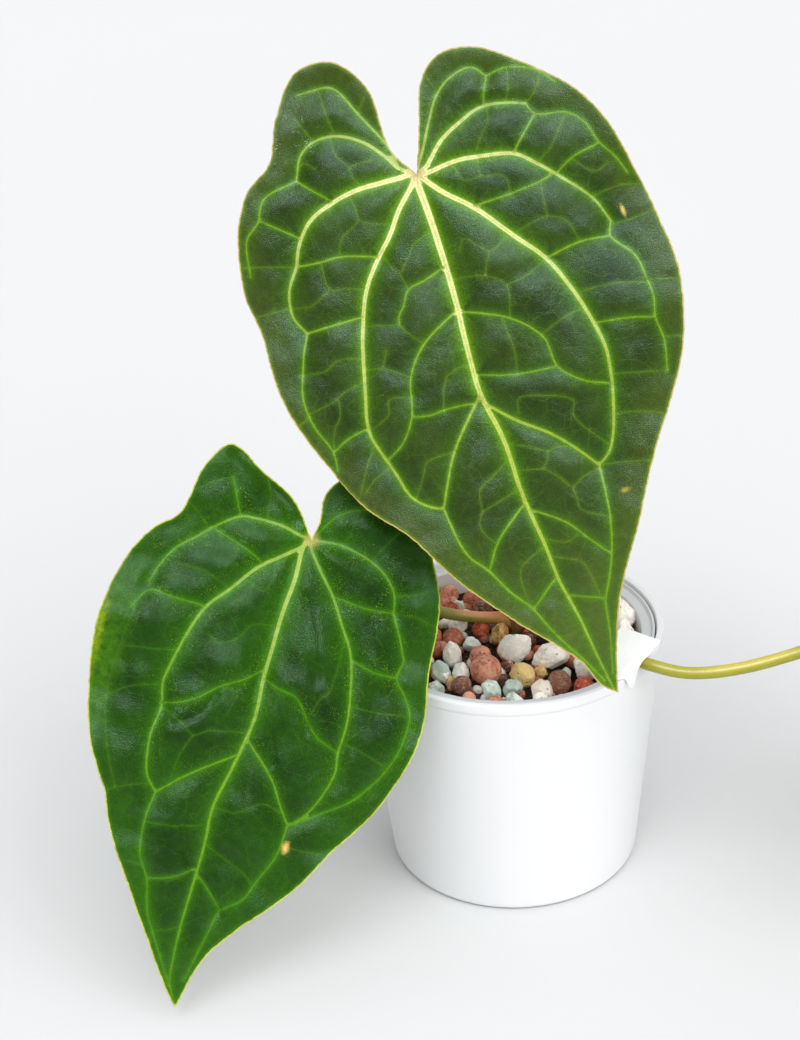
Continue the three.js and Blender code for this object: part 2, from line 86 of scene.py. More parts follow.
class Finish:
    """A procedural material, with short names for the nodes that it is painted from."""

    def __init__(self, name, roughness, **surface):
        self.material = bpy.data.materials.new(name)
        self.material.use_nodes = True
        self.tree = self.material.node_tree
        self.shader = self.tree.nodes["Principled BSDF"]
        self.shader.inputs["Roughness"].default_value = roughness
        for socket, value in surface.items():
            self.shader.inputs[socket.replace("_", " ")].default_value = value
        self.place = put(self.tree, "ShaderNodeTexCoord", out="Object")

    def calc(self, operation, *values):
        return put(self.tree, "ShaderNodeMath", values, operation=operation)

    def mix(self, share, first, second, blend="MIX"):
        inputs = {0: share, 6: first, 7: second}
        return put(self.tree, "ShaderNodeMix", inputs, 2, data_type="RGBA", blend_type=blend)

    def band(self, value, low, high):
        """Rises softly from 0 at low to 1 at high, or falls if low is the larger."""
        inputs = {"Value": value, "From Min": low, "From Max": high}
        return put(self.tree, "ShaderNodeMapRange", inputs, interpolation_type="SMOOTHSTEP")

    def field(self, name, out="Fac"):
        return put(self.tree, "ShaderNodeAttribute", out=out, attribute_name=name)

    def noise(self, size, detail=2.0, vector=None, warp=0.0):
        """Soft noise whose features are about size across, in the vector's own unit."""
        inputs = {"Vector": vector or self.place, "Scale": 1 / size, "Detail": detail,
                  "Distortion": warp}
        return put(self.tree, "ShaderNodeTexNoise", inputs)

    def cells(self, size, feature="F1", vector=None, randomness=1.0):
        inputs = {"Vector": vector or self.place, "Scale": 1 / size, "Randomness": randomness}
        return put(self.tree, "ShaderNodeTexVoronoi", inputs, feature=feature)

    def relief(self, height, depth, normal=None):
        inputs = {"Height": height, "Distance": depth, "Normal": normal}
        bump = put(self.tree, "ShaderNodeBump", inputs)
        self.tree.links.new(bump, self.shader.inputs["Normal"])
        return bump

    def paint(self, result, socket="Base Color"):
        self.tree.links.new(result, self.shader.inputs[socket])
        return self.material


def new_piece(name, mesh, replaced):
    """A finished mesh as a piece of the plant, riding on its one body."""
    piece = bpy.data.objects.new(name, mesh)
    bpy.context.scene.collection.objects.link(piece)
    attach(piece, "root")
    if replaced:
        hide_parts(replaced)
    return piece


def mesh_of(name, vertices, faces, material, crease=40):
    """A smooth-shaded mesh from points in millimetres, sharp where it turns by more than crease."""
    mesh = bpy.data.meshes.new(name)
    mesh.from_pydata((np.asarray(vertices, float) * MM).tolist(), [], faces)
    mesh.materials.append(material)
    mesh.shade_smooth()
    mesh.set_sharp_from_angle(angle=math.radians(crease))
    return mesh


def turned(profile, segments):
    """Points and faces of a body turned round the Z axis from [radius, height] points."""
    angles = np.linspace(0, 2 * math.pi, segments, endpoint=False)
    vertices, rings = [], []
    for radius, height in profile:
        rings.append(range(len(vertices), len(vertices) + (segments if radius > 0 else 1)))
        if radius > 0:
            vertices += [(radius * math.cos(a), radius * math.sin(a), height) for a in angles]
        else:
            vertices.append((0, 0, height))
    faces = []
    for low, high in zip(rings, rings[1:]):
        for side in range(segments):
            after = (side + 1) % segments
            ends = [low[side % len(low)], low[after % len(low)],
                    high[after % len(high)], high[side % len(high)]]
            faces.append(list(dict.fromkeys(ends)))
    return vertices, faces


def rounded(centre, radius, start, end, steps):
    """Profile points on an arc, angles in degrees from the outward direction."""
    turns = np.radians(np.linspace(start, end, steps))
    return [(centre[0] + radius * math.cos(t), centre[1] + radius * math.sin(t)) for t in turns]


def outer_radius(height):
    return BASE_RADIUS + (RIM_RADIUS - BASE_RADIUS) * height / POT_HEIGHT


def white_plastic():
    finish = Finish("white_matt_plastic", 0.42, Specular_IOR_Level=0.45)
    cloud = finish.noise(0.045, 3)
    tint = finish.mix(cloud, colour(229, 230, 232), colour(234, 234, 235))
    scuff = finish.band(finish.noise(0.004, 4, warp=1.5), 0.68, 0.8)
    dulled = finish.mix(finish.calc("MULTIPLY", scuff, 0.25), tint, colour(226, 227, 228))
    grain = finish.noise(0.0006, 3)
    finish.relief(grain, 0.00002)
    finish.paint(finish.calc("ADD", finish.calc("MULTIPLY", cloud, 0.12), 0.36), "Roughness")
    return finish.paint(dulled)


def cover_pot():
    lip = POT_HEIGHT - LIP_HEIGHT
    foot = (outer_radius(POT_EDGE) - POT_EDGE, POT_EDGE)
    inner_top = RIM_RADIUS - POT_WALL
    profile = [(0, 0), (BASE_RADIUS - POT_EDGE, 0)]
    profile += rounded(foot, POT_EDGE, -84, -6, 9)
    profile += [(outer_radius(h), h) for h in OUTSIDE_HEIGHTS]
    profile += [(outer_radius(lip - 1.2) - LIP_STEP / 3, lip - 1.2)]
    profile += [(outer_radius(lip) - LIP_STEP, lip)]
    profile += [(outer_radius(lip), lip + LIP_STEP), (outer_radius(lip + 1), lip + 1)]
    top = POT_HEIGHT - RIM_ROUND
    profile += rounded((RIM_RADIUS - RIM_ROUND, top), RIM_ROUND, 5, 90, 5)
    profile += rounded((inner_top + RIM_ROUND, top), RIM_ROUND, 90, 175, 5)
    profile += [(outer_radius(h) - POT_WALL, h) for h in INSIDE_HEIGHTS]
    profile += [(outer_radius(POT_FLOOR) - POT_WALL - 2, POT_FLOOR), (0, POT_FLOOR)]
    return mesh_of("cover_pot", *turned(profile, POT_SEGMENTS), white_plastic())


new_piece("cover_pot", cover_pot(), "outer_pot")

# Grey nursery pot: thin moulded plastic that stands in the cover pot, with a broad flat rim,
# a raised bead round it and four drain holes in its floor. Turned, then drilled.
PIECE_GAP = 0.3
LINER_TOP = 108.8
LINER_LEDGE = 107.4
LINER_RIM_RADIUS = 61.7
LINER_BEAD_RADIUS = 60
LINER_MOUTH_RADIUS = 56
LINER_FOOT_RADIUS = 46
LINER_WALL = 1.2
LINER_FLANGE = 1.6
LINER_ROUND = 0.4
LINER_SEGMENTS = 160
DRAIN_HOLES = 4
DRAIN_RADIUS = 4
DRAIN_RING = 28
DRILL_REACH = 3
DRILL_SEGMENTS = 24
liner_floor = POT_FLOOR + PIECE_GAP


def liner_inside(height):
    share = (height - liner_floor) / (LINER_LEDGE - liner_floor)
    return LINER_FOOT_RADIUS - LINER_WALL + share * (LINER_MOUTH_RADIUS - LINER_FOOT_RADIUS + LINER_WALL)


def grey_plastic():
    finish = Finish("grey_moulded_plastic", 0.5)
    cloud = finish.noise(0.03, 4)
    tint = finish.mix(cloud, colour(204, 206, 209), colour(216, 217, 219))
    dust = finish.band(finish.noise(0.0018, 5), 0.6, 0.75)
    dusted = finish.mix(finish.calc("MULTIPLY", dust, 0.3), tint, colour(206, 200, 192))
    finish.relief(finish.noise(0.0008, 3), 0.00003)
    return finish.paint(dusted)


def plain(piece):
    """Makes what a piece's modifiers show its own mesh."""
    graph = bpy.context.evaluated_depsgraph_get()
    mesh = bpy.data.meshes.new_from_object(piece.evaluated_get(graph), depsgraph=graph)
    piece.modifiers.clear()
    piece.data = mesh
    return mesh


def loose(name, mesh):
    """A helper object that is removed once its mesh has been used."""
    helper = bpy.data.objects.new(name, mesh)
    bpy.context.scene.collection.objects.link(helper)
    return helper


def nursery_pot():
    under = LINER_LEDGE - LINER_FLANGE
    material = grey_plastic()
    profile = [(0, liner_floor), (LINER_FOOT_RADIUS, liner_floor)]
    profile += [(liner_inside(under) + LINER_WALL, under), (LINER_RIM_RADIUS, under)]
    edge = (LINER_RIM_RADIUS - LINER_ROUND, LINER_TOP - LINER_ROUND)
    profile += rounded(edge, LINER_ROUND, 0, 90, 4)
    profile += [(LINER_RIM_RADIUS - 1, LINER_TOP), (LINER_BEAD_RADIUS, LINER_LEDGE + 0.1)]
    profile += [(LINER_BEAD_RADIUS - LINER_ROUND, LINER_LEDGE)]
    profile += [(LINER_MOUTH_RADIUS + LINER_ROUND, LINER_LEDGE)]
    profile += [(LINER_MOUTH_RADIUS, LINER_LEDGE - 0.3)]
    inner_floor = liner_floor + LINER_WALL
    profile += [(liner_inside(inner_floor), inner_floor), (0, inner_floor)]
    pot = loose("pot_body", mesh_of("pot_body", *turned(profile, LINER_SEGMENTS), material))
    low, high = -DRILL_REACH, DRILL_REACH
    side = [(0, low), (DRAIN_RADIUS, low), (DRAIN_RADIUS, high), (0, high)]
    for hole in range(DRAIN_HOLES):
        angle = 2 * math.pi * (hole + 0.5) / DRAIN_HOLES
        vertices, faces = turned(side, DRILL_SEGMENTS)
        centre = (DRAIN_RING * math.cos(angle), DRAIN_RING * math.sin(angle), liner_floor)
        drill = loose("drill", mesh_of("drill", np.array(vertices) + centre, faces, material))
        cut = pot.modifiers.new("drain_hole", "BOOLEAN")
        cut.operation = "DIFFERENCE"
        cut.object = drill
        plain(pot)
        bpy.data.objects.remove(drill)
    mesh = pot.data
    bpy.data.objects.remove(pot)
    return mesh


new_piece("nursery_pot", nursery_pot(), "inner_pot")

# Mineral mix: a dark bed, its dark tone partly painted shade for the gaps between the stones, with
# loose stones and small grit of six kinds poured on it: clay in two firings, pumice, zeolite, red
# lava and ochre. One node tree grows them all, a ball for each point, dented, faceted and roughened by its
# kind.
BED_EDGE_Z = 96.2
BED_MIDDLE_Z = 98.0
STONE_COUNT = 58
STONE_SMALL = 7
STONE_LARGE = 13
STONE_REACH = 54
STONE_CENTRE_Z = 99
GRIT_COUNT = 130
GRIT_SIZE = (3.5, 6.5)
STONE_CLEARANCE = 0.42
BED_RADIUS = 52
BED_RIPPLE = 0.5
BED_SEGMENTS = 96
STONE_DETAIL = 5
GRIT_DETAIL = 2
CROWN = (5, 13)
CROWN_RADIUS = 6.5
LCG = (1664525, 1013904223, 4294967296)

# Stones in view: kind, x, y and diameter
VIEW_STONES = [
    ("clay", -10, -24, 14.6), ("pumice", 2, -9, 14.8), ("pumice", 17, -15, 15.5),
    ("pumice", -24, -11, 11), ("zeolite", -8, -38, 10), ("ochre", 5, -28, 11),
    ("pumice", 13, -39, 10.4), ("dark_clay", 20, -34, 11.6), ("lava", 30, -36, 9.8),
    ("pumice", 31, -24, 11), ("clay", -24, 3, 10.4), ("dark_clay", -20, -33, 9),
    ("zeolite", -16, -1, 7.5), ("ochre", -4, 4, 10.5), ("clay", -16, 37, 9), ("clay", -26, 44, 9),
    ("pumice", -22, 15, 10.4), ("pumice", 45, 17, 13), ("pumice", 47, 3, 12),
    ("zeolite", -31, -34, 8.4), ("zeolite", 2, -46, 8.6),
]
# Small stones that lie between them, in the same order
GAP_STONES = [
    ("pumice", -27, -25, 7), ("lava", -11, -10, 7.6), ("lava", 9, 6, 8), ("clay", -31, -4, 8),
    ("zeolite", -22, 33, 7), ("dark_clay", -2, -19, 5.5), ("dark_clay", 25, -44, 6),
    ("clay", -17, -42, 6.5), ("ochre", -34, -20, 6),
]
# Stones that lie higher, against the wall: kind, place of the centre and diameter
WALL_STONES = [
    ("pumice", (48.2, 13.5, 103.9), 15), ("pumice", (48.5, 1.5, 102.4), 12.5),
    ("pumice", (46, 26, 102.6), 12.5), ("clay", (40, 36, 101.5), 11),
    ("pumice", (41.5, -27.5, 101.6), 11),
]
KIND_SHARES = {"clay": 0.34, "dark_clay": 0.14, "pumice": 0.26, "zeolite": 0.1, "lava": 0.1,
               "ochre": 0.06}


def drawn(seed):
    """Repeatable random numbers between 0 and 1."""
    state = seed
    while True:
        state = (state * LCG[0] + LCG[1]) % LCG[2]
        yield state / LCG[2]


def picked_kind(share):
    for kind, part in KIND_SHARES.items():
        share -= part
        if share < 0:
            return kind
    return "clay"


def stone_places():
    """The stones in view, then others thrown in wherever there is room."""
    random = drawn(7)
    kinds = np.random.default_rng(5)
    places = list(VIEW_STONES)
    while len(places) < STONE_COUNT:
        size = STONE_SMALL + (STONE_LARGE - STONE_SMALL) * next(random)
        radius = (STONE_REACH - size / 2) * math.sqrt(next(random))
        angle = 2 * math.pi * next(random)
        x, y = radius * math.cos(angle), radius * math.sin(angle)
        free = all(math.hypot(x - a, y - b) > STONE_CLEARANCE * (size + c) for _, a, b, c in places)
        if free and math.dist((x, y), CROWN) > CROWN_RADIUS + 1 + size / 2:
            places.append((picked_kind(kinds.random()), x, y, size))
    return places


def stone_centre(x, y, size):
    edge = math.hypot(x, y) / STONE_REACH
    return (x, y, STONE_CENTRE_Z + 0.25 * size - 1.5 * edge)


def grit_places():
    """Small stones that fill the gaps, half sunk between the large ones."""
    random = np.random.default_rng(21)
    places = []
    while len(places) < GRIT_COUNT:
        size = random.uniform(*GRIT_SIZE)
        radius = (STONE_REACH - size / 2) * math.sqrt(random.random())
        angle = 2 * math.pi * random.random()
        x, y = radius * math.cos(angle), radius * math.sin(angle)
        if math.dist((x, y), CROWN) > CROWN_RADIUS + size / 2:
            lift = 1.6 * random.random() - 1.2 * radius / STONE_REACH
            places.append((picked_kind(random.random()), (x, y, STONE_CENTRE_Z - 1.2 + lift), size))
    return places


def node_group(name, sockets):
    """A new geometry tree with named inputs, its group input node and its geometry socket."""
    tree = bpy.data.node_groups.new(name, "GeometryNodeTree")
    tree.interface.new_socket("Geometry", in_out="INPUT", socket_type="NodeSocketGeometry")
    for socket, kind in sockets.items():
        tree.interface.new_socket(socket, in_out="INPUT", socket_type="NodeSocket" + kind)
    tree.interface.new_socket("Geometry", in_out="OUTPUT", socket_type="NodeSocketGeometry")
    return tree, tree.nodes.new("NodeGroupInput").outputs


def close_tree(tree, geometry, given):
    """Every tree ends in plain geometry that has its material."""
    solid = put(tree, "GeometryNodeRealizeInstances", (geometry,))
    smooth = put(tree, "GeometryNodeSetShadeSmooth", (solid,))
    painted = put(tree, "GeometryNodeSetMaterial", {"Geometry": smooth, "Material": given["Material"]})
    tree.links.new(painted, tree.nodes.new("NodeGroupOutput").inputs[0])


def grown(name, base, tree, values):
    """The plain mesh that a tree grows from a base mesh, with its inputs set by identifier."""
    piece = loose(name, base)
    grow = piece.modifiers.new("grow", "NODES")
    grow.node_group = tree
    for item in tree.interface.items_tree:
        if item.in_out == "INPUT" and item.name in values:
            grow[item.identifier] = values[item.name]
    mesh = plain(piece)
    bpy.data.objects.remove(piece)
    return mesh


def stone_tree():
    """A stone for each point: its facets and dents differ by the point's own random place."""
    sockets = {"Detail": "Int", "Facets": "Float", "Lumps": "Float", "Grain": "Float",
               "Flatness": "Float", "Seed": "Int", "Material": "Material"}
    tree, given = node_group("loose_stones", sockets)

    def kept(geometry, name, kind, value):
        inputs = {"Geometry": geometry, "Name": name, "Value": value}
        return put(tree, "GeometryNodeStoreNamedAttribute", inputs, data_type=kind)

    def field(name, kind="FLOAT_VECTOR"):
        return put(tree, "GeometryNodeInputNamedAttribute", (name,), data_type=kind)

    def vector(operation, *values, out=0):
        return put(tree, "ShaderNodeVectorMath", values, out, operation=operation)

    def calc(operation, *values):
        return put(tree, "ShaderNodeMath", values, operation=operation)

    def random(low, high, offset):
        inputs = {0: low, 1: high, "Seed": calc("ADD", given["Seed"], offset)}
        return put(tree, "FunctionNodeRandomValue", inputs, 0, data_type="FLOAT_VECTOR")

    here = put(tree, "GeometryNodeInputPosition")
    points = kept(given["Geometry"], "centre", "FLOAT_VECTOR", here)
    points = kept(points, "variant", "FLOAT_VECTOR", random((0, 0, 0), (40, 40, 40), 0))
    points = kept(points, "turn", "FLOAT_VECTOR", random((0, 0, 0), (6.3, 6.3, 6.3), 7))
    stretch = random((1.0, 0.8, 0.66), (1.22, 0.98, 0.86), 3)
    points = kept(points, "stretch", "FLOAT_VECTOR", stretch)
    ball = put(tree, "GeometryNodeMeshIcoSphere", {"Radius": 1.0, "Subdivisions": given["Detail"]})
    ball = kept(ball, "ball", "FLOAT_VECTOR", here)
    many = put(tree, "GeometryNodeInstanceOnPoints", {"Points": points, "Instance": ball})
    many = put(tree, "GeometryNodeRealizeInstances", (many,))
    ball_point, variant = field("ball"), field("variant")
    sample = vector("ADD", ball_point, variant)
    cell = put(tree, "ShaderNodeTexVoronoi", {"Vector": sample, "Scale": 1.15, "Smoothness": 0.28},
               feature="SMOOTH_F1")
    facet = calc("SUBTRACT", calc("MULTIPLY", cell, cell), 0.3)
    lump = calc("SUBTRACT", put(tree, "ShaderNodeTexNoise", {"Vector": sample, "Scale": 1.3}), 0.5)
    grain_noise = put(tree, "ShaderNodeTexNoise", {"Vector": sample, "Scale": 6.0, "Detail": 4.0})
    grain = calc("SUBTRACT", grain_noise, 0.5)
    swell = calc("MULTIPLY_ADD", facet, given["Facets"], 0.93)
    swell = calc("MULTIPLY_ADD", lump, given["Lumps"], swell)
    swell = calc("MULTIPLY_ADD", grain, given["Grain"], swell)
    shape = vector("SCALE", ball_point)
    tree.links.new(swell, shape.node.inputs["Scale"])
    even = put(tree, "ShaderNodeMix", {0: given["Flatness"], 4: (1, 1, 1), 5: field("stretch")}, 1,
               data_type="VECTOR")
    shape = vector("MULTIPLY", shape, even)
    shape = put(tree, "ShaderNodeVectorRotate", {"Vector": shape, "Rotation": field("turn")},
                rotation_type="EULER_XYZ")
    half = calc("MULTIPLY", field("size", "FLOAT"), 0.5)
    scaled = vector("SCALE", shape)
    tree.links.new(half, scaled.node.inputs["Scale"])
    placed = vector("ADD", field("centre"), scaled)
    shaped = put(tree, "GeometryNodeSetPosition", {"Geometry": many, "Position": placed})
    close_tree(tree, shaped, given)
    return tree


def stone_finish(name, light, dark, pit_shade, patch=0.004, pit_size=0.0016, pits=0.3, rough=0.0007):
    """Dry stone: two tones in patches, painted shade in its pits and specks, and a dusty grain, shifted a
    little per stone.
    """
    finish = Finish(name, 0.85, Specular_IOR_Level=0.25)
    own = put(finish.tree, "ShaderNodeSeparateXYZ", (finish.field("variant", "Vector"),))
    shift = finish.calc("SUBTRACT", finish.calc("MULTIPLY", own, 1 / 40), 0.5)
    patches = finish.calc("ADD", finish.noise(patch, 4, warp=0.6), finish.calc("MULTIPLY", shift, 0.5))
    tone = finish.mix(finish.band(patches, 0.35, 0.68), light, dark)
    dusty = finish.band(finish.noise(0.0013, 5, warp=0.8), 0.46, 0.72)
    dust = finish.mix(finish.calc("MULTIPLY", dusty, 0.32), tone, colour(226, 212, 198))
    # Small specks and the dented pits take the pit colour: painted shade in the hollows.
    shaded_specks = finish.band(finish.cells(0.0009), 0.22, 0.08)
    dust = finish.mix(finish.calc("MULTIPLY", shaded_specks, 0.22), dust, pit_shade)
    hole = finish.band(finish.cells(pit_size), pits, pits * 0.4)
    picky = finish.band(finish.noise(pit_size * 2.2, 2), 0.48, 0.6)
    shaded_hollow = finish.calc("MULTIPLY", hole, picky)
    # Painted shade: the pits are darkened towards the pit colour.
    tone = finish.mix(finish.calc("MULTIPLY", shaded_hollow, 0.85), dust, pit_shade)
    ground = finish.calc("ADD", finish.noise(rough, 5), finish.calc("MULTIPLY", shaded_hollow, -1.5))
    finish.relief(ground, 0.00035)
    return finish.paint(tone)


# For each kind: how much it is faceted, lumpy, grainy and flat, then its finish, whose third colour is the
# painted shade in its pits
STONE_KINDS = {
    "clay": (0.0, 0.14, 0.06, 0.2, stone_finish(
        "fired_clay", colour(226, 156, 128), colour(180, 100, 74), colour(62, 36, 30), pits=0.32)),
    "dark_clay": (0.06, 0.2, 0.08, 0.3, stone_finish(
        "dark_fired_clay", colour(142, 92, 74), colour(92, 54, 42), colour(38, 26, 24), pits=0.3)),
    "pumice": (0.36, 0.34, 0.16, 0.9, stone_finish(
        "white_pumice", colour(255, 252, 246), colour(244, 230, 216), colour(176, 150, 130),
        pits=0.22, pit_size=0.0026, rough=0.0011)),
    "zeolite": (0.46, 0.25, 0.08, 1.0, stone_finish(
        "green_zeolite", colour(236, 244, 236), colour(190, 206, 194), colour(140, 154, 140),
        pits=0.2, pit_size=0.003)),
    "lava": (0.2, 0.4, 0.24, 0.8, stone_finish(
        "red_lava", colour(206, 92, 62), colour(160, 62, 42), colour(70, 30, 22), pits=0.36)),
    "ochre": (0.36, 0.34, 0.16, 0.9, stone_finish(
        "ochre_grit", colour(236, 202, 136), colour(170, 118, 46), colour(82, 54, 26), patch=0.0026)),
}


def points_mesh(name, places):
    """A mesh of bare points in metres, each with the diameter of its stone."""
    mesh = bpy.data.meshes.new(name)
    mesh.from_pydata([[value * MM for value in centre] for centre, _ in places], [], [])
    sizes = mesh.attributes.new("size", "FLOAT", "POINT")
    sizes.data.foreach_set("value", [size * MM for _, size in places])
    return mesh


def bed_grit_and_gap_shade():
    finish = Finish("shaded_bed_grit", 0.9, Specular_IOR_Level=0.2)
    # Dark brown grit tone, partly the bed's own colour and partly painted shade where it shows between the
    # stones.
    speck = finish.band(finish.cells(0.0024), 0.2, 0.5)
    tone = finish.mix(speck, colour(92, 70, 58), colour(48, 36, 30))
    finish.relief(finish.noise(0.0015, 4), 0.0008)
    return finish.paint(tone)


def stone_bed():
    foot = liner_floor + LINER_WALL + PIECE_GAP
    profile = [(0, foot), (liner_inside(foot) - PIECE_GAP, foot)]
    profile += [(liner_inside(BED_EDGE_Z) - PIECE_GAP, BED_EDGE_Z)]
    for radius in np.linspace(BED_RADIUS - 2, 2, 25):
        share = 1 - radius / BED_RADIUS
        ripple = BED_RIPPLE * math.sin(1.9 * radius)
        height = BED_EDGE_Z + (BED_MIDDLE_Z - BED_EDGE_Z) * share + ripple
        profile.append((radius, height))
    profile.append((0, BED_MIDDLE_Z))
    return mesh_of("stone_bed", *turned(profile, BED_SEGMENTS), bed_grit_and_gap_shade())


new_piece("stone_bed", stone_bed(), "mineral_substrate")
loose_stones = stone_tree()
large = stone_places() + GAP_STONES
grit = grit_places()
for number, (kind, shape) in enumerate(STONE_KINDS.items()):
    facets, lumps, grain, flatness, material = shape
    values = {"Facets": facets, "Lumps": lumps, "Grain": grain, "Flatness": flatness,
              "Seed": 10 * number, "Material": material}
    here = [(stone_centre(x, y, size), size) for name, x, y, size in large if name == kind]
    here += [(centre, size) for name, centre, size in WALL_STONES if name == kind]
    stones = grown(kind, points_mesh(kind, here), loose_stones, {**values, "Detail": STONE_DETAIL})
    new_piece(kind + "_stones", stones, "mineral_substrate")
    here = [(centre, size) for name, centre, size in grit if name == kind]
    small = grown(kind, points_mesh(kind, here), loose_stones, {**values, "Detail": GRIT_DETAIL})
    new_piece(kind + "_grit", small, "mineral_substrate")

# Thick roots below the crown: pale, firm and slightly corky. They stay as the solid they
# are, since the stones hide them, and only get their finish.
def root_skin():
    finish = Finish("root_skin", 0.7)
    tone = finish.mix(finish.noise(0.006, 4), colour(208, 190, 152), colour(166, 142, 104))
    finish.relief(finish.noise(0.0012, 4), 0.0003)
    return finish.paint(tone)


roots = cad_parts["roots"]
roots.data.materials.clear()
roots.data.materials.append(root_skin())

# Crown: the short stem that the petioles grow from, ringed by old leaf scars and wrapped in
# dry, papery sheaths that split and curl as they age.
CROWN_FOOT_Z = 88
CROWN_TOP_Z = 111
# Each sheath: compass direction, height and radius at its foot
SHEATHS = [(20, 17, 5.2), (95, 23, 4.6), (165, 15, 5.6), (230, 20, 4.9), (310, 13, 5.4)]
SHEATH_THICKNESS = 0.35
SHEATH_SPREAD = 105
SHEATH_FOOT_Z = 98
SHEATH_ROWS = 16
SHEATH_COLUMNS = 10
SCAR_PITCH = 4.2
SCAR_HEIGHT = 0.35


def stem_bark():
    finish = Finish("crown_stem", 0.62)
    tone = finish.mix(finish.noise(0.004, 4), colour(126, 122, 62), colour(104, 84, 48))
    finish.relief(finish.noise(0.0011, 4), 0.0003)
    return finish.paint(tone)


def dry_sheath():
    finish = Finish("dry_sheath", 0.7)
    along = put(finish.tree, "ShaderNodeMapping", {"Vector": finish.place, "Scale": (1, 1, 0.12)})
    fibre = finish.noise(0.0007, 4, vector=along)
    tone = finish.mix(fibre, colour(178, 138, 88), colour(112, 74, 42))
    tone = finish.mix(finish.band(finish.noise(0.005, 2), 0.5, 0.7), tone, colour(150, 120, 70))
    finish.relief(fibre, 0.0003)
    return finish.paint(tone)


def crown_stem():
    profile = [(0, CROWN_FOOT_Z), (5, CROWN_FOOT_Z)]
    heights = np.linspace(CROWN_FOOT_Z + 1, CROWN_TOP_Z, 40)
    for z in heights:
        share = (z - CROWN_FOOT_Z) / (CROWN_TOP_Z - CROWN_FOOT_Z)
        ring = SCAR_HEIGHT * abs(math.sin(math.pi * (z - CROWN_FOOT_Z) / SCAR_PITCH)) ** 0.5
        body = 5.9 - 3.2 * share ** 3
        profile.append((body + ring, z))
    profile.append((0, CROWN_TOP_Z + 0.6))
    vertices, faces = turned(profile, 40)
    return mesh_of("crown_stem", np.array(vertices) + (*CROWN, 0), faces, stem_bark(), 60)


def sheath_shells():
    """Pointed shells round the stem, each a strip bent round it and closed to a thin solid."""
    rows, columns = SHEATH_ROWS, SHEATH_COLUMNS
    vertices, faces = [], []
    for turn, height, radius in SHEATHS:
        first = len(vertices)
        for face in (1, -1):
            for j in range(rows + 1):
                share = j / rows
                spread = math.radians(SHEATH_SPREAD) * (1 - share) ** 0.6
                bulge = radius + 1.1 * math.sin(math.pi * share) + 1.8 * share ** 3
                for i in range(columns + 1):
                    side = 2 * i / columns - 1
                    angle = math.radians(turn) + side * spread / 2
                    curl = 0.5 * share * side ** 2
                    reach = bulge + curl + face * SHEATH_THICKNESS / 2
                    z = SHEATH_FOOT_Z + height * share - 1.5 * side ** 2 * share
                    vertices.append((CROWN[0] + reach * math.cos(angle),
                                     CROWN[1] + reach * math.sin(angle), z))
        wide = columns + 1
        back = wide * (rows + 1)
        rim = [(i, i + 1) for i in range(columns)]
        rim += [(j * wide + columns, (j + 1) * wide + columns) for j in range(rows)]
        rim += [(rows * wide + i + 1, rows * wide + i) for i in reversed(range(columns))]
        rim += [((j + 1) * wide, j * wide) for j in reversed(range(rows))]
        for j in range(rows):
            for i in range(columns):
                a = first + j * wide + i
                faces.append((a, a + 1, a + wide + 1, a + wide))
                faces.append((a + back, a + wide + back, a + wide + 1 + back, a + 1 + back))
        faces += [(first + a, first + a + back, first + b + back, first + b) for a, b in rim]
    return mesh_of("crown_sheaths", vertices, faces, dry_sheath(), 60)


new_piece("crown_stem", crown_stem(), "crown")
new_piece("crown_sheaths", sheath_shells(), "crown")

# Leaf blades: living sheets, velvety above and paler and ribbed below, grown on their petioles.
# Each is a flat net of triangles along its margin and veins, lifted to the blade's form: it
# arches from lobes to tip, rolls back at the sides, and puffs up between sunken veins.
BLADE_NET = 1.15
NET_SNAP = 0.6
MARGIN_STRIP = 0.75
MARGIN_JITTER = 0.12
BLADE_THICKNESS = 0.6
MARGIN_THICKNESS = 0.35
# How deep main, side and fine veins sink, as shares of the puff, and how far that reaches
VEIN_SINKS = ((1, 5.5), (0.45, 3.6), (0.2, 2.2))
MAIN_RIB, MAIN_RIB_REACH = 1.5, 1.3
SIDE_RIB, SIDE_RIB_REACH = 0.35, 0.9
VEIN_RIDGE = 0.3

# Upper leaf, flat, in millimetres: the sinus where the petiole joins is the origin. Its form
# gives how it stands off that plane, how deep its veins sink and how slim they are.
UPPER_FORM = {
    "length": 211, "bow": -9, "half_width": 90, "arch_top": 70, "arch": 22, "keel": 3, "roll": 8,
    "wave": 2.5, "wave_length": 75, "left_phase": 0.5, "right_phase": 2, "puff": 2.7,
    "rise": 0.8, "crinkle": 0.2, "slim": 0.86,
}
UPPER_LEFT = [
    (0, 0), (-6, 12), (-6, 37), (-15, 51), (-30, 53), (-42, 41), (-51, 25), (-63, 18), (-73, 3),
    (-79, -18), (-78, -35), (-79, -56), (-76, -77), (-64, -110), (-52, -126), (-40, -150),
    (-26, -171), (-9, -194), (-5, -206), (0, -211),
]
UPPER_RIGHT = [
    (0, 0), (7, 16), (14, 32), (23, 38), (36, 36), (52, 23), (66, 7), (73, -9), (76, -28),
    (78, -49), (78, -70), (70, -95), (59, -112), (46, -129), (31, -152), (15, -175), (5, -197),
    (0, -211),
]
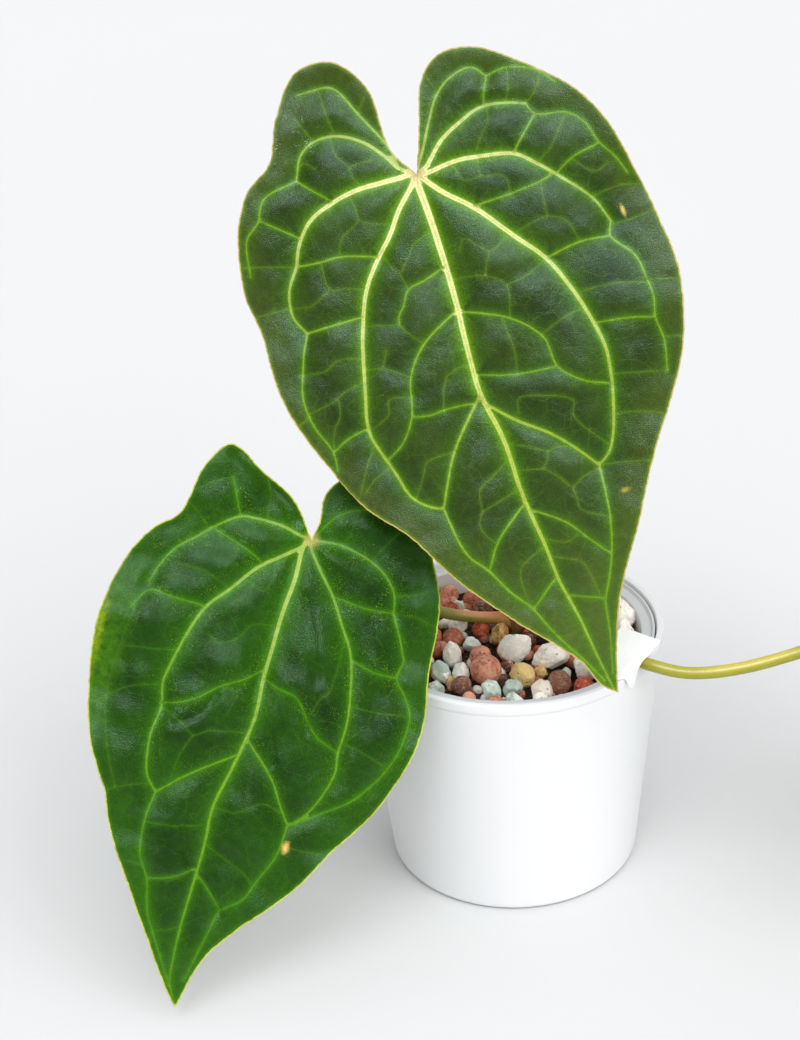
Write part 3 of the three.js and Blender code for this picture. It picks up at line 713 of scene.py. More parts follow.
# Main veins: width where it starts, width where it ends, then its course
UPPER_MAIN = [
    (3.0, 0.7, [(-1, 0), (-1, -16), (-3, -48), (-5, -64), (-7, -85), (-5, -104), (-6, -127),
                (-5, -147), (-5, -162), (-3, -178), (-2, -197), (-1, -209)]),
    (2.1, 0.9, [(-1, 0), (-3, -3), (-11, -10), (-18, -18), (-25, -24), (-33, -33), (-38, -42),
                (-42, -52), (-48, -70), (-52, -83), (-51, -91), (-48, -103), (-46, -112),
                (-41, -118), (-36, -121)]),
    (2.3, 0.8, [(0, 1), (-5, 1), (-14, 2), (-24, 3), (-34, 2), (-44, -1), (-51, -7), (-56, -15),
                (-62, -23), (-64, -32), (-61, -40)]),
    (2.2, 0.9, [(0, 0), (7, -10), (16, -20), (26, -35), (34, -47), (39, -61), (42, -75), (43, -86),
                (41, -97), (39, -104), (34, -117), (30, -123), (25, -126)]),
    (2.0, 0.8, [(0, 0), (3, -1), (15, -1), (25, -3), (37, -7), (43, -13), (48, -19), (58, -33),
                (61, -43)]),
    (2.0, 0.8, [(0, 0), (4, 1), (13, 8), (23, 12), (31, 14), (40, 12), (47, 9)]),
    (1.5, 0.7, [(0, 1), (-5, 4), (-9, 11), (-15, 19), (-24, 25), (-33, 26), (-39, 23), (-44, 15)]),
    (1.2, 0.5, [(0, 1), (5, 7), (11, 16), (18, 25), (26, 29), (33, 29), (37, 24)]),
    (1.1, 0.5, [(0, 1), (-5, 4), (-6, 12), (-13, 30), (-17, 40), (-20, 43), (-32, 45)]),
    (1.2, 0.9, [(-6, -90), (2, -99), (13, -109), (20, -118), (25, -126)]),
    (1.0, 0.8, [(-7, -85), (-24, -102), (-30, -111), (-36, -121)]),
]
UPPER_SIDE = [
    (0.80, 0.48, [(-36, -121), (-35, -133), (-33, -142), (-29, -148), (-24, -159), (-18, -169),
                (-14, -180), (-7, -195), (-3, -205)]),
    (0.72, 0.48, [(25, -126), (24, -135), (22, -146), (18, -158), (13, -168), (9, -175), (6, -187),
                (1, -203)]),
    (0.72, 0.40, [(-61, -40), (-66, -50), (-71, -63), (-71, -74), (-68, -86), (-69, -93)]),
    (0.64, 0.40, [(61, -43), (59, -48), (65, -58), (66, -68), (66, -75), (64, -82), (64, -91),
                (61, -102)]),
    (0.56, 0.40, [(47, 9), (49, 4), (60, 0), (65, -6), (67, -14), (71, -22), (73, -29)]),
    (0.56, 0.40, [(-44, 15), (-58, 13), (-63, 6), (-70, 1), (-74, -12)]),
    (0.48, 0.40, [(37, 24), (45, 24), (55, 19), (60, 12)]),
    (0.64, 0.64, [(-39, -42), (-61, -40)]),
    (0.64, 0.56, [(34, -47), (48, -46), (59, -48)]),
    (0.56, 0.56, [(49, 4), (37, -6)]),
    (0.40, 0.40, [(37, 24), (32, 14)]),
    (0.56, 0.40, [(-44, 15), (-34, 3)]),
    (0.64, 0.48, [(-5, -53), (-21, -61), (-29, -70), (-34, -84), (-41, -92), (-49, -96)]),
    (0.64, 0.48, [(-7, -130), (-21, -140), (-28, -149)]),
    (0.56, 0.40, [(-5, -160), (-18, -169)]),
    (0.64, 0.40, [(-4, -53), (14, -63), (23, -74), (24, -86), (31, -94), (40, -99)]),
    (0.40, 0.40, [(-6, -78), (8, -83), (24, -86)]),
    (0.64, 0.48, [(-6, -132), (6, -142), (12, -151), (17, -158)]),
    (0.48, 0.40, [(-5, -168), (9, -174)]),
    (0.64, 0.56, [(-56, -15), (-46, -17), (-38, -18), (-25, -23)]),
    (0.48, 0.40, [(-51, -5), (-57, 1), (-62, 6)]),
    (0.56, 0.40, [(-3, -36), (-11, -38), (-18, -39), (-22, -44), (-25, -47), (-26, -50)]),
    (0.56, 0.40, [(15, -19), (29, -20), (41, -20), (48, -19)]),
    (0.48, 0.40, [(43, -76), (56, -79), (64, -82)]),
    (0.48, 0.40, [(67, -15), (57, -16), (49, -19)]),
    (0.48, 0.40, [(-51, -82), (-60, -83), (-68, -86)]),
    (0.40, 0.40, [(-34, -84), (-27, -86), (-21, -86), (-8, -88)]),
]
UPPER_FINE = [
    [(-24, 44), (-24, 40), (-24, 32), (-24, 25)], [(-36, 37), (-34, 31), (-32, 26)],
    [(-26, 25), (-26, 18), (-23, 12), (-23, 8), (-21, 3)], [(-23, 12), (-19, 12), (-14, 11)],
    [(-43, 17), (-39, 20), (-35, 16)], [(-27, 3), (-26, -4), (-26, -8), (-22, -11), (-15, -14)],
    [(-26, -8), (-31, -10), (-35, -12), (-38, -17)], [(-46, -18), (-46, -28), (-40, -30), (-33, -33)],
    [(-46, -28), (-51, -30), (-56, -31), (-63, -29)], [(-77, -7), (-66, -11), (-56, -15)],
    [(-3, -22), (-10, -24), (-14, -28), (-19, -32), (-23, -23)], [(-19, -32), (-18, -39)],
    [(-3, -41), (11, -45), (17, -51), (14, -63)], [(-77, -27), (-69, -28), (-63, -29)],
    [(26, -34), (40, -33), (46, -37), (48, -46)], [(40, -33), (42, -21)],
    [(57, -32), (69, -32), (75, -34)], [(61, -44), (67, -45), (77, -45)],
    [(40, -63), (55, -65), (66, -69)], [(42, -96), (52, -99), (61, -102)],
    [(37, -110), (45, -112), (54, -116)], [(33, -47), (27, -50), (17, -51)],
    [(24, -33), (20, -36), (16, -37), (12, -33), (8, -29), (5, -33)], [(16, -37), (13, -41), (11, -45)],
    [(41, -69), (32, -70), (22, -73)], [(11, -62), (11, -75), (9, -83)],
    [(4, -97), (6, -92), (15, -94), (25, -100), (23, -105), (31, -120)],
    [(56, 18), (52, 12), (47, 9)], [(45, 24), (43, 16), (40, 12)],
    [(60, 0), (55, -5), (50, -10), (43, -13)], [(33, 14), (32, 8), (29, 5), (26, 2), (23, -2)],
    [(23, -3), (23, -10), (29, -12), (31, -15), (30, -20)], [(23, -10), (16, -9), (14, -2)],
    [(56, -17), (62, -24), (67, -23)], [(-26, -50), (-24, -54), (-20, -60)],
    [(-26, -50), (-32, -48), (-40, -45)], [(-45, -61), (-38, -63), (-29, -70)],
    [(-34, -57), (-38, -63)], [(-31, -77), (-40, -75), (-42, -80), (-50, -83)],
    [(-47, -65), (-55, -66), (-61, -68), (-72, -69)], [(-43, -57), (-53, -54), (-59, -56), (-69, -54)],
    [(-58, -67), (-60, -74), (-64, -78), (-67, -84)], [(-6, -73), (-15, -74), (-18, -77), (-22, -86)],
    [(-24, -102), (-35, -102), (-38, -106), (-44, -113)], [(-62, -105), (-56, -101), (-49, -99)],
    [(-6, -112), (-14, -116), (-20, -119), (-22, -126), (-25, -132), (-24, -136), (-22, -140)],
    [(-5, -106), (3, -110), (9, -114), (13, -114), (18, -116)], [(9, -114), (8, -117), (5, -120)],
    [(-6, -117), (5, -120), (9, -124), (13, -130), (18, -128), (25, -127)],
    [(13, -130), (13, -134), (13, -139), (23, -146)], [(-6, -124), (-17, -126), (-22, -127)],
    [(-5, -148), (-12, -150), (-17, -153), (-19, -168)], [(-6, -144), (4, -149), (9, -147)],
    [(-5, -152), (1, -155), (6, -158), (8, -173)], [(25, -126), (34, -128), (44, -131)],
    [(66, -68), (72, -70), (77, -72)], [(65, -90), (71, -92)], [(-71, -70), (-77, -72)],
    [(-64, -105), (-57, -95), (-52, -89)], [(-13, 30), (-8, 34)], [(18, 25), (16, 33)],
]

# Folds that run beside the lower leaf's veins: depth, width and course
LOWER_FOLDS = [
    (1.5, 1.5, [(12, -60), (16, -66), (19, -72)]), (1.4, 1.4, [(4, -75), (7, -81), (10, -88)]),
    (1.8, 1.6, [(-18, -119), (-14, -128), (-10, -136)]), (1.5, 1.5, [(-5, -139), (0, -144), (6, -151)]),
    (0.9, 1.6, [(-5, -10), (-6, -29), (-6, -51), (-5, -72)]),
    (1.3, 1.7, [(-19, -68), (-23, -76), (-31, -83)]),
    (2.2, 3.0, [(-36, 25), (-25, 18), (-15, 12), (-8, 6)]), (0.9, 1.8, [(4, -22), (11, -36), (17, -52)]),
]

# Lower leaf, flat, in the same way
LOWER_FORM = {
    "length": 194, "bow": -4, "half_width": 70, "arch_top": 70, "arch": 30, "keel": 3, "roll": 7,
    "wave": 2.5, "wave_length": 60, "left_phase": 0.5, "right_phase": 2, "puff": 2.9,
    "rise": 0.7, "crinkle": 0.4, "slim": 0.72,
}
LOWER_LEFT = [
    (0, 0), (-11, 13), (-27, 21), (-35, 26), (-41, 27), (-48, 16), (-52, -4), (-60, -12),
    (-67, -25), (-71, -47), (-69, -71), (-63, -93), (-55, -108), (-50, -116), (-45, -128),
    (-29, -153), (-16, -172), (-6, -187), (0, -194),
]
LOWER_RIGHT = [
    (0, 0), (1, 8), (0, 17), (4, 25), (14, 32), (28, 31), (40, 19), (48, 5), (54, -7), (57, -20),
    (59, -40), (62, -55), (61, -72), (54, -95), (41, -116), (32, -133), (14, -156), (5, -171),
    (0, -194),
]
LOWER_MAIN = [
    (2.3, 0.7, [(0, 0), (-2, -2), (-2, -17), (-3, -31), (-3, -45), (-3, -57), (-2, -73), (-5, -94),
                (-8, -111), (-7, -126), (-7, -143), (-7, -162), (-6, -177), (-5, -184), (-1, -192)]),
    (1.9, 0.8, [(0, 0), (-2, -3), (-10, -10), (-17, -16), (-25, -27), (-32, -36), (-36, -47),
                (-39, -61), (-40, -69), (-38, -78), (-39, -90), (-36, -105), (-31, -111)]),
    (1.6, 0.6, [(0, 0), (-3, 0), (-13, 2), (-22, 2), (-29, 1), (-37, -5), (-43, -11), (-50, -18),
                (-54, -26), (-56, -33)]),
    (1.4, 0.8, [(0, 0), (0, -2), (6, -10), (14, -19), (20, -28), (27, -39), (31, -53), (33, -65),
                (33, -78), (34, -85), (31, -97), (27, -105), (22, -110)]),
    (1.1, 0.7, [(0, 0), (2, 0), (11, 1), (18, 0), (25, -2), (32, -6), (37, -12), (39, -19),
                (44, -28), (48, -36)]),
    (0.9, 0.8, [(-3, -81), (11, -94), (17, -103), (22, -110)]),
    (0.9, 0.8, [(-4, -88), (-21, -101), (-31, -111)]),
]
LOWER_SIDE = [
    (0.64, 0.40, [(-31, -111), (-32, -122), (-30, -136), (-25, -145), (-21, -158), (-11, -175),
                (-5, -186)]),
    (0.64, 0.32, [(22, -110), (21, -122), (17, -133), (13, -143), (6, -150), (4, -159), (2, -170),
                (0, -182)]),
    (0.64, 0.40, [(-4, -54), (-10, -59), (-18, -64), (-26, -71), (-33, -75), (-39, -77)]),
    (0.56, 0.40, [(48, -36), (47, -43), (52, -49), (56, -56), (56, -67), (54, -76), (50, -85),
                (43, -94), (33, -102), (24, -109)]),
    (0.56, 0.32, [(-29, 1), (-36, 15)]),
    (0.64, 0.32, [(-33, -36), (-45, -36), (-55, -36), (-60, -44)]),
    (0.48, 0.32, [(-39, -6), (-28, -9), (-22, -11), (-16, -14)]),
    (0.56, 0.40, [(-7, -136), (-15, -141), (-25, -145)]),
    (0.56, 0.40, [(-6, -139), (1, -145), (6, -150)]),
    (0.48, 0.32, [(15, -19), (28, -20), (39, -19)]),
    (0.48, 0.32, [(28, -41), (38, -43), (47, -43)]),
    (0.64, 0.32, [(1, 1), (4, 7), (9, 13), (17, 17), (27, 20)]),
    (0.40, 0.24, [(-3, -57), (4, -59), (10, -60), (13, -62), (18, -68), (23, -73), (32, -77)]),
]
LOWER_FINE = [
    [(-3, -36), (-13, -38), (-16, -43), (-19, -46), (-24, -48), (-28, -46)],
    [(-38, -55), (-46, -57), (-52, -58), (-62, -60)], [(-39, -70), (-48, -72), (-55, -76), (-64, -84)],
    [(-3, -79), (-9, -80), (-18, -82), (-23, -85), (-28, -82), (-38, -78)],
    [(-33, -108), (-42, -111), (-51, -116)], [(25, -1), (28, 5), (32, 12)],
    [(37, -12), (44, -10), (51, -6)], [(-47, -23), (-37, -23), (-30, -25), (-25, -27)],
    [(-40, -7), (-45, -2), (-50, 1)], [(-69, -37), (-60, -43)],
    [(-8, -118), (-19, -121), (-32, -123)], [(-36, 15), (-43, 11), (-49, 6)],
    [(12, 1), (14, 7), (15, 16)], [(-23, -85), (-26, -94), (-27, -105)],
    [(23, -32), (23, -54), (20, -59), (18, -67)], [(32, -58), (41, -58), (55, -56)],
    [(34, -73), (41, -74), (54, -78)], [(-8, -111), (1, -110), (10, -104), (19, -106)],
    [(-7, -160), (-12, -163), (-18, -165)], [(-8, -125), (1, -129), (9, -132), (16, -136)],
    [(-58, -42), (-60, -60), (-60, -78), (-54, -98), (-47, -112)], [(-19, 2), (-20, 12), (-24, 20)],
    [(-10, -10), (-12, -24), (-20, -22)], [(39, -19), (48, -18), (57, -20)],
    [(56, -60), (61, -62)], [(24, -118), (32, -118), (38, -117)], [(-28, -140), (-36, -140)],
]


def smooth_line(points, step):
    """Evenly spaced points on the smooth curve through the given ones."""
    known = np.array(points, float)
    known = np.vstack([2 * known[0] - known[1], known, 2 * known[-1] - known[-2]])
    share = np.linspace(0, 1, 24, endpoint=False)[:, None]
    fine = []
    for before, start, end, after in zip(known, known[1:], known[2:], known[3:]):
        u, v, w = (math.dist(*pair) ** 0.5 for pair in ((before, start), (start, end), (end, after)))
        leave = ((start - before) / u - (end - before) / (u + v) + (end - start) / v) * v
        arrive = ((end - start) / v - (after - start) / (v + w) + (after - end) / w) * v
        fine.append(start * (2 * share**3 - 3 * share**2 + 1) + leave * (share**3 - 2 * share**2 + share)
                    + end * (3 * share**2 - 2 * share**3) + arrive * (share**3 - share**2))
    fine = np.vstack([*fine, known[-2]])
    length = np.concatenate([[0], np.cumsum(np.linalg.norm(np.diff(fine, axis=0), axis=1))])
    at = np.linspace(0, length[-1], max(2, round(length[-1] / step)) + 1)
    return np.stack([np.interp(at, length, axis) for axis in fine.T], axis=1)


def nearest_line(points, lines, reach):
    """Distance from flat points to the edge of the nearest line, and its width there."""
    nearest = np.full(len(points), float(reach))
    widths = np.zeros(len(points))
    for first, last, path in lines:
        inside = (points > path.min(0) - reach) & (points < path.max(0) + reach)
        near = np.flatnonzero(inside.all(axis=1))
        for number, (start, end) in enumerate(zip(path, path[1:])):
            step = end - start
            share = np.clip((points[near] - start) @ step / (step @ step), 0, 1)
            width = first + (last - first) * (number + share) / (len(path) - 1)
            gap = np.linalg.norm(points[near] - start - share[:, None] * step, axis=1) - width / 2
            closer = gap < nearest[near]
            nearest[near[closer]] = gap[closer]
            widths[near[closer]] = width[closer]
    return nearest, widths


def eased(values, faces, rounds):
    """Values at the net's points, averaged with their neighbours a few times over."""
    faces = np.array(faces)
    ends = np.vstack([faces[:, pair] for pair in ((0, 1), (1, 2), (2, 0), (1, 0), (2, 1), (0, 2))])
    count = np.bincount(ends[:, 0], minlength=len(values))
    for _ in range(rounds):
        around = np.bincount(ends[:, 0], values[ends[:, 1]], len(values)) / count
        values = (values + around) / 2
    return values


def inside_line(points, outline):
    inside = np.zeros(len(points), bool)
    for a, b in zip(outline, np.roll(outline, -1, axis=0)):
        if a[1] == b[1]:
            continue
        crosses = (a[1] > points[:, 1]) != (b[1] > points[:, 1])
        x = a[0] + (points[:, 1] - a[1]) * (b[0] - a[0]) / (b[1] - a[1])
        inside ^= crosses & (points[:, 0] < x)
    return inside


def tree_of(points):
    found = KDTree(len(points))
    for number, (x, y) in enumerate(points):
        found.insert((x, y, 0), number)
    found.balance()
    return found


def clear_of(points, others, gap):
    """The points that stay further than gap from all the others."""
    near = tree_of(others)
    keep = [near.find((x, y, 0))[2] > gap for x, y in points]
    return points[np.array(keep, bool)]


def blade_net(outline, veins):
    """Flat triangles inside the outline, with edges along every vein."""
    points = [tuple(point) for point in outline]
    edges = []
    snap = {}
    for path in veins:
        keep = inside_line(path, outline)
        keep &= np.array([near[2] > 0.5 * BLADE_NET for near in
                          map(tree_of(outline).find, ((x, y, 0) for x, y in path))])
        last = None
        for (x, y), kept in zip(path, keep):
            key = (round(x / NET_SNAP), round(y / NET_SNAP))
            number = snap.get(key)
            if kept and number is None:
                number = snap[key] = len(points)
                points.append((x, y))
            if not kept:
                number = None
            if last is not None and number is not None and last != number:
                edges.append((last, number))
            last = number
    fixed = np.array(points)
    after = np.roll(outline, -1, axis=0) - np.roll(outline, 1, axis=0)
    inward = np.stack([-after[:, 1], after[:, 0]], axis=1) / np.linalg.norm(after, axis=1)[:, None]
    ring = outline + MARGIN_STRIP * inward
    ring = clear_of(ring[inside_line(ring, outline)], fixed, 0.45 * BLADE_NET)
    fixed = np.vstack([fixed, ring])
    low, high = outline.min(0), outline.max(0)
    rows = np.arange(low[1], high[1], BLADE_NET * 0.866)
    grid = [np.stack([np.arange(low[0], high[0], BLADE_NET) + (row % 2) * BLADE_NET / 2,
                      np.full_like(np.arange(low[0], high[0], BLADE_NET), y)], axis=1)
            for row, y in enumerate(rows)]
    grid = np.vstack(grid)
    grid = clear_of(grid[inside_line(grid, outline)], fixed, 0.62 * BLADE_NET)
    everything = [Vector(point) for point in np.vstack([fixed, grid])]
    border = [(i, (i + 1) % len(outline)) for i in range(len(outline))]
    found, _, faces, *_ = delaunay_2d_cdt(everything, border + edges, [], 0, 1e-4, False)
    net = np.array([tuple(point) for point in found])
    faces = np.array([tuple(face) for face in faces])
    faces = faces[inside_line(net[faces].mean(axis=1), outline)]
    return net, [tuple(face) for face in faces.tolist()]


def blade_height(form, x, y):
    """How far the blade stands off its flat plane, before the veins sink into it."""
    along = np.clip(-y / form["length"], 0, 1)
    across = (x - form["bow"] * np.sin(np.pi * along)) / form["half_width"]
    arch = (-y - form["arch_top"]) / form["length"]
    phase = np.where(across > 0, form["right_phase"], form["left_phase"])
    wave = np.sin(2 * np.pi * y / form["wave_length"] + phase)
    return (-form["arch"] * arch**2 + form["keel"] * (1 - np.exp(-3 * np.abs(across)))
            + (form["wave"] * wave - form["roll"]) * across**2)


def crinkles(form, x, y):
    """Soft unevenness of the blade between its veins: a few crossing waves, seeded."""
    random = np.random.default_rng(17)
    total = np.zeros_like(x)
    for length in (46, 34, 27, 21, 17, 13, 10):
        turn, phase = random.uniform(0, 2 * math.pi, 2)
        wave = np.sin(2 * math.pi * (x * math.cos(turn) + y * math.sin(turn)) / length + phase)
        total += wave * length / 25
    return form["crinkle"] * total


def edge_loop(faces):
    """Directed edges of the net's border."""
    open_edges = {}
    for a, b, c in faces:
        for start, end in ((a, b), (b, c), (c, a)):
            if open_edges.pop((end, start), None) is None:
                open_edges[(start, end)] = True
    return list(open_edges)


def leaf_blade(name, form, margins, veins, folds, place, material):
    """Both faces of a blade from one net, with ribs under the veins and a thin closed margin."""
    left, right = (smooth_line(margin, BLADE_NET) for margin in margins)
    outline = np.vstack([left, right[::-1][1:-1]])
    uneven = np.random.default_rng(4).uniform(-MARGIN_JITTER, MARGIN_JITTER, outline.shape)
    uneven[[0, len(left) - 1]] = 0
    outline = outline + uneven
    slim = form["slim"]
    main, side, fine = ([(a * slim, b * slim, smooth_line(path, BLADE_NET)) for a, b, path in group]
                        for group in veins)
    net, faces = blade_net(outline, [path for _, _, path in [*main, *side, *fine]])
    to_vein, strength = nearest_line(net, [*main, *side], 14)
    to_main, _ = nearest_line(net, main, 30)
    to_side, _ = nearest_line(net, side, 20)
    to_fine, _ = nearest_line(net, fine, 10)
    to_margin, _ = nearest_line(net, [(0, 0, np.vstack([outline, outline[:1]]))], 30)
    x, y = net.T
    sunk = np.zeros(len(net))
    for distance, (share, reach) in zip((to_main, to_side, to_fine), VEIN_SINKS):
        sunk += share * form["puff"] * np.exp(-np.maximum(distance, 0) / reach)
    sunk = eased(sunk, faces, 5)
    for deep, wide, course in folds:
        from_fold, _ = nearest_line(net, [(0, 0, smooth_line(course, 3))], 4 * wide)
        sunk = sunk + deep * np.exp(-(from_fold / wide) ** 2)
    ridge = VEIN_RIDGE * np.clip(-to_vein, 0, 0.8)
    calm = np.clip(to_main / 8, 0.15, 1)
    upper = blade_height(form, x, y) + form["rise"] - sunk + ridge + calm * crinkles(form, x, y)
    thin = np.clip(to_margin / 2.5, 0, 1)
    thickness = MARGIN_THICKNESS + (BLADE_THICKNESS - MARGIN_THICKNESS) * thin
    fade = np.clip(1 + y / form["length"], 0.25, 1)
    rib = MAIN_RIB * fade * np.clip(1 - np.maximum(to_main + 0.4, 0) / MAIN_RIB_REACH, 0, 1) ** 0.7
    rib += SIDE_RIB * np.clip(1 - np.maximum(to_side, 0) / SIDE_RIB_REACH, 0, 1)
    lower = upper - thickness - np.where(to_margin > 0.5, rib, 0)
    count = len(net)
    vertices = np.vstack([np.stack([x, y, upper], axis=1), np.stack([x, y, lower], axis=1)])
    skin = faces + [(count + a, count + c, count + b) for a, b, c in faces]
    skin += [(a, count + a, count + b, b) for a, b in edge_loop(faces)]
    turn = np.array(place)
    vertices = vertices @ turn[:3, :3].T + turn[:3, 3]
    mesh = mesh_of(name, vertices, skin, material, 80)
    fields = {"to_vein": to_vein, "strength": strength, "to_fine": to_fine, "to_margin": to_margin}
    for field, values in fields.items():
        stored = mesh.attributes.new(field, "FLOAT", "POINT")
        stored.data.foreach_set("value", np.tile(values, 2).astype(np.float32))
    below = mesh.attributes.new("below", "FLOAT", "POINT")
    below.data.foreach_set("value", np.repeat([0.0, 1.0], count).astype(np.float32))
    flat = mesh.attributes.new("flat", "FLOAT_VECTOR", "POINT")
    plane = np.stack([x, y, np.zeros(count)], axis=1)
    flat.data.foreach_set("vector", np.vstack([plane, plane]).astype(np.float32).ravel())
    return mesh


def blade_finish(name, tones, roughness, marks=()):
    """Leaf tissue: veins and halos by their distance, a fine net between them, velvet grain."""
    finish = Finish(name, roughness, Specular_IOR_Level=tones["gloss"], Specular_Tint=tones["shine"])
    flat = finish.field("flat", "Vector")
    to_vein, strength, to_fine = (finish.field(field) for field in ("to_vein", "strength", "to_fine"))
    to_margin, below = finish.field("to_margin"), finish.field("below")
    outward = put(finish.tree, "ShaderNodeVectorMath", (flat,), "Value", operation="LENGTH")
    feather = finish.calc("MULTIPLY_ADD", finish.noise(0.8, 3, vector=flat), 2.2, -0.1)
    strong = finish.band(strength, 0.5, 1.9)

    def near(distance, reach):
        """Fades from 1 on a vein's edge with the distance from it, in uneven feathers."""
        scaled = finish.calc("DIVIDE", finish.calc("MAXIMUM", distance, 0.0),
                             finish.calc("MULTIPLY", feather, reach))
        return finish.calc("EXPONENT", finish.calc("MULTIPLY", scaled, -1.0))

    def on_vein(distance, soft):
        return finish.band(distance, soft, -soft)

    def spot(centre, size):
        """Distance from a mark's centre, 1 at the edge of its ellipse."""
        scale = (1 / size[0], 1 / size[1], 0)
        away = put(finish.tree, "ShaderNodeVectorMath", (flat, (*centre, 0)), operation="SUBTRACT")
        away = put(finish.tree, "ShaderNodeVectorMath", (away, scale), operation="MULTIPLY")
        return put(finish.tree, "ShaderNodeVectorMath", (away,), "Value", operation="LENGTH")

    tissue = finish.mix(finish.band(finish.noise(24, 3, vector=flat), 0.35, 0.68),
                        tones["tissue"], tones["dark"])
    tip = finish.calc("MULTIPLY", finish.band(outward, 125, 208), tones["tip_share"])
    tissue = finish.mix(tip, tissue, tones["tip"])
    rim = finish.calc("MULTIPLY", finish.band(to_margin, 16, 1), tones["rim_share"])
    tissue = finish.mix(rim, tissue, tones["rim"])
    glow = finish.calc("MULTIPLY", near(to_vein, finish.calc("MULTIPLY_ADD", strength, 2.0, 1.4)), 0.7)
    tissue = finish.mix(glow, tissue, tones["glow"])
    swirl = put(finish.tree, "ShaderNodeTexNoise", {"Vector": flat, "Scale": 1 / 7, "Detail": 2.0}, "Color")
    bent = put(finish.tree, "ShaderNodeVectorMath", (swirl, (4.5, 4.5, 0), flat), operation="MULTIPLY_ADD")
    net = finish.cells(7.5, "DISTANCE_TO_EDGE", bent)
    lines = finish.calc("MULTIPLY", finish.band(net, 0.035, 0.0), finish.noise(11, 2, vector=flat))
    tissue = finish.mix(finish.calc("MULTIPLY", lines, 0.3), tissue, tones["fine"])
    specks = finish.band(finish.cells(0.7, vector=flat), 0.34, 0.12)
    crowd = finish.calc("MULTIPLY", finish.band(finish.noise(6, 3, vector=flat), 0.42, 0.62),
                        finish.calc("MULTIPLY", finish.band(to_vein, 11, 1),
                                    finish.band(outward, 150, 40)))
    crowd = finish.calc("MULTIPLY", crowd, tones["speckles"])
    tissue = finish.mix(finish.calc("MULTIPLY", specks, crowd), tissue, tones["speckle"])
    if tones["dust_at"]:
        dust_area = finish.calc("MULTIPLY", finish.band(spot(*tones["dust_at"]), 1.1, 0.3),
                                finish.band(finish.noise(4, 3, vector=flat), 0.5, 0.62))
        tissue = finish.mix(finish.calc("MULTIPLY", specks, dust_area), tissue, tones["dust"])
    tissue = finish.mix(finish.calc("MULTIPLY", near(to_fine, 0.6), 0.22), tissue, tones["halo"])
    tissue = finish.mix(finish.calc("MULTIPLY", on_vein(to_fine, 0.13), 0.42), tissue, tones["fine"])
    halo = finish.calc("MULTIPLY", near(to_vein, finish.calc("MULTIPLY_ADD", strong, 0.9, 0.5)),
                       finish.calc("MULTIPLY_ADD", strong, 0.45, 0.5))
    tissue = finish.mix(halo, tissue, tones["halo"])
    vein = finish.mix(finish.band(outward, 15, 120), tones["vein"], tones["vein_end"])
    vein = finish.mix(strong, tones["side"], vein)
    depth = finish.calc("DIVIDE", to_vein, finish.calc("MULTIPLY", strength, -0.5))
    groove = finish.calc("MULTIPLY", finish.band(depth, 0.5, 0.9), finish.band(strength, 0.9, 1.7))
    vein = finish.mix(finish.calc("MULTIPLY", groove, 0.3), vein, tones["groove"])
    faint = finish.calc("MULTIPLY", finish.band(strength, 0.9, 0.5), finish.band(outward, 90, 190))
    shown = finish.calc("MULTIPLY", on_vein(to_vein, 0.18), finish.calc("MULTIPLY_ADD", faint, -0.45, 1.0))
    thick = finish.calc("MULTIPLY_ADD", finish.band(strength, 0.3, 0.62), 0.45, 0.55)
    shown = finish.calc("MULTIPLY", shown, thick)
    tissue = finish.mix(shown, tissue, vein)
    tissue = finish.mix(finish.calc("MULTIPLY", finish.band(outward, 4.5, 0.5), 0.7), tissue, tones["heart"])
    for centre, size, share, tint in marks:
        rough_edge = finish.calc("MULTIPLY_ADD", finish.noise(2.2, 3, vector=flat), 0.9,
                                 spot(centre, size))
        mottle = finish.band(finish.noise(3.4, 5, vector=flat), 0.55 - share, 0.9 - share / 2)
        mark = finish.calc("MULTIPLY", finish.band(rough_edge, 1.9, 0.5), mottle)
        tissue = finish.mix(mark, tissue, tint)
    tissue = finish.mix(finish.calc("MULTIPLY", finish.band(to_margin, 2.2, 0.6), 0.3), tissue,
                        tones["halo"])
    tissue = finish.mix(finish.band(to_margin, 0.7, 0.3), tissue, tones["margin"])
    pale = finish.mix(finish.noise(9, 3, vector=flat), tones["under"], tones["under_dark"])
    pale = finish.mix(finish.calc("MULTIPLY", lines, 0.5), pale, tones["rib"])
    pale = finish.mix(finish.calc("MULTIPLY", on_vein(to_fine, 0.3), 0.6), pale, tones["rib"])
    pale = finish.mix(on_vein(to_vein, 0.45), pale, tones["rib"])
    pale = finish.mix(finish.band(to_margin, 0.7, 0.3), pale, tones["margin"])
    tissue = finish.mix(finish.band(below, 0.4, 0.6), tissue, pale)
    grain = finish.noise(0.4, 3, vector=flat)
    tissue = finish.mix(1.0, tissue, finish.calc("MULTIPLY_ADD", grain, 1.7, 0.15), "MULTIPLY")
    clouds = finish.noise(2.6, 4, vector=flat)
    tissue = finish.mix(1.0, tissue, finish.calc("MULTIPLY_ADD", clouds, 0.7, 0.65), "MULTIPLY")
    hammered = finish.relief(finish.noise(5, 4, vector=flat), 0.00042)
    finish.relief(finish.noise(0.5, 3, vector=flat), 0.00025, hammered)
    return finish.paint(tissue)


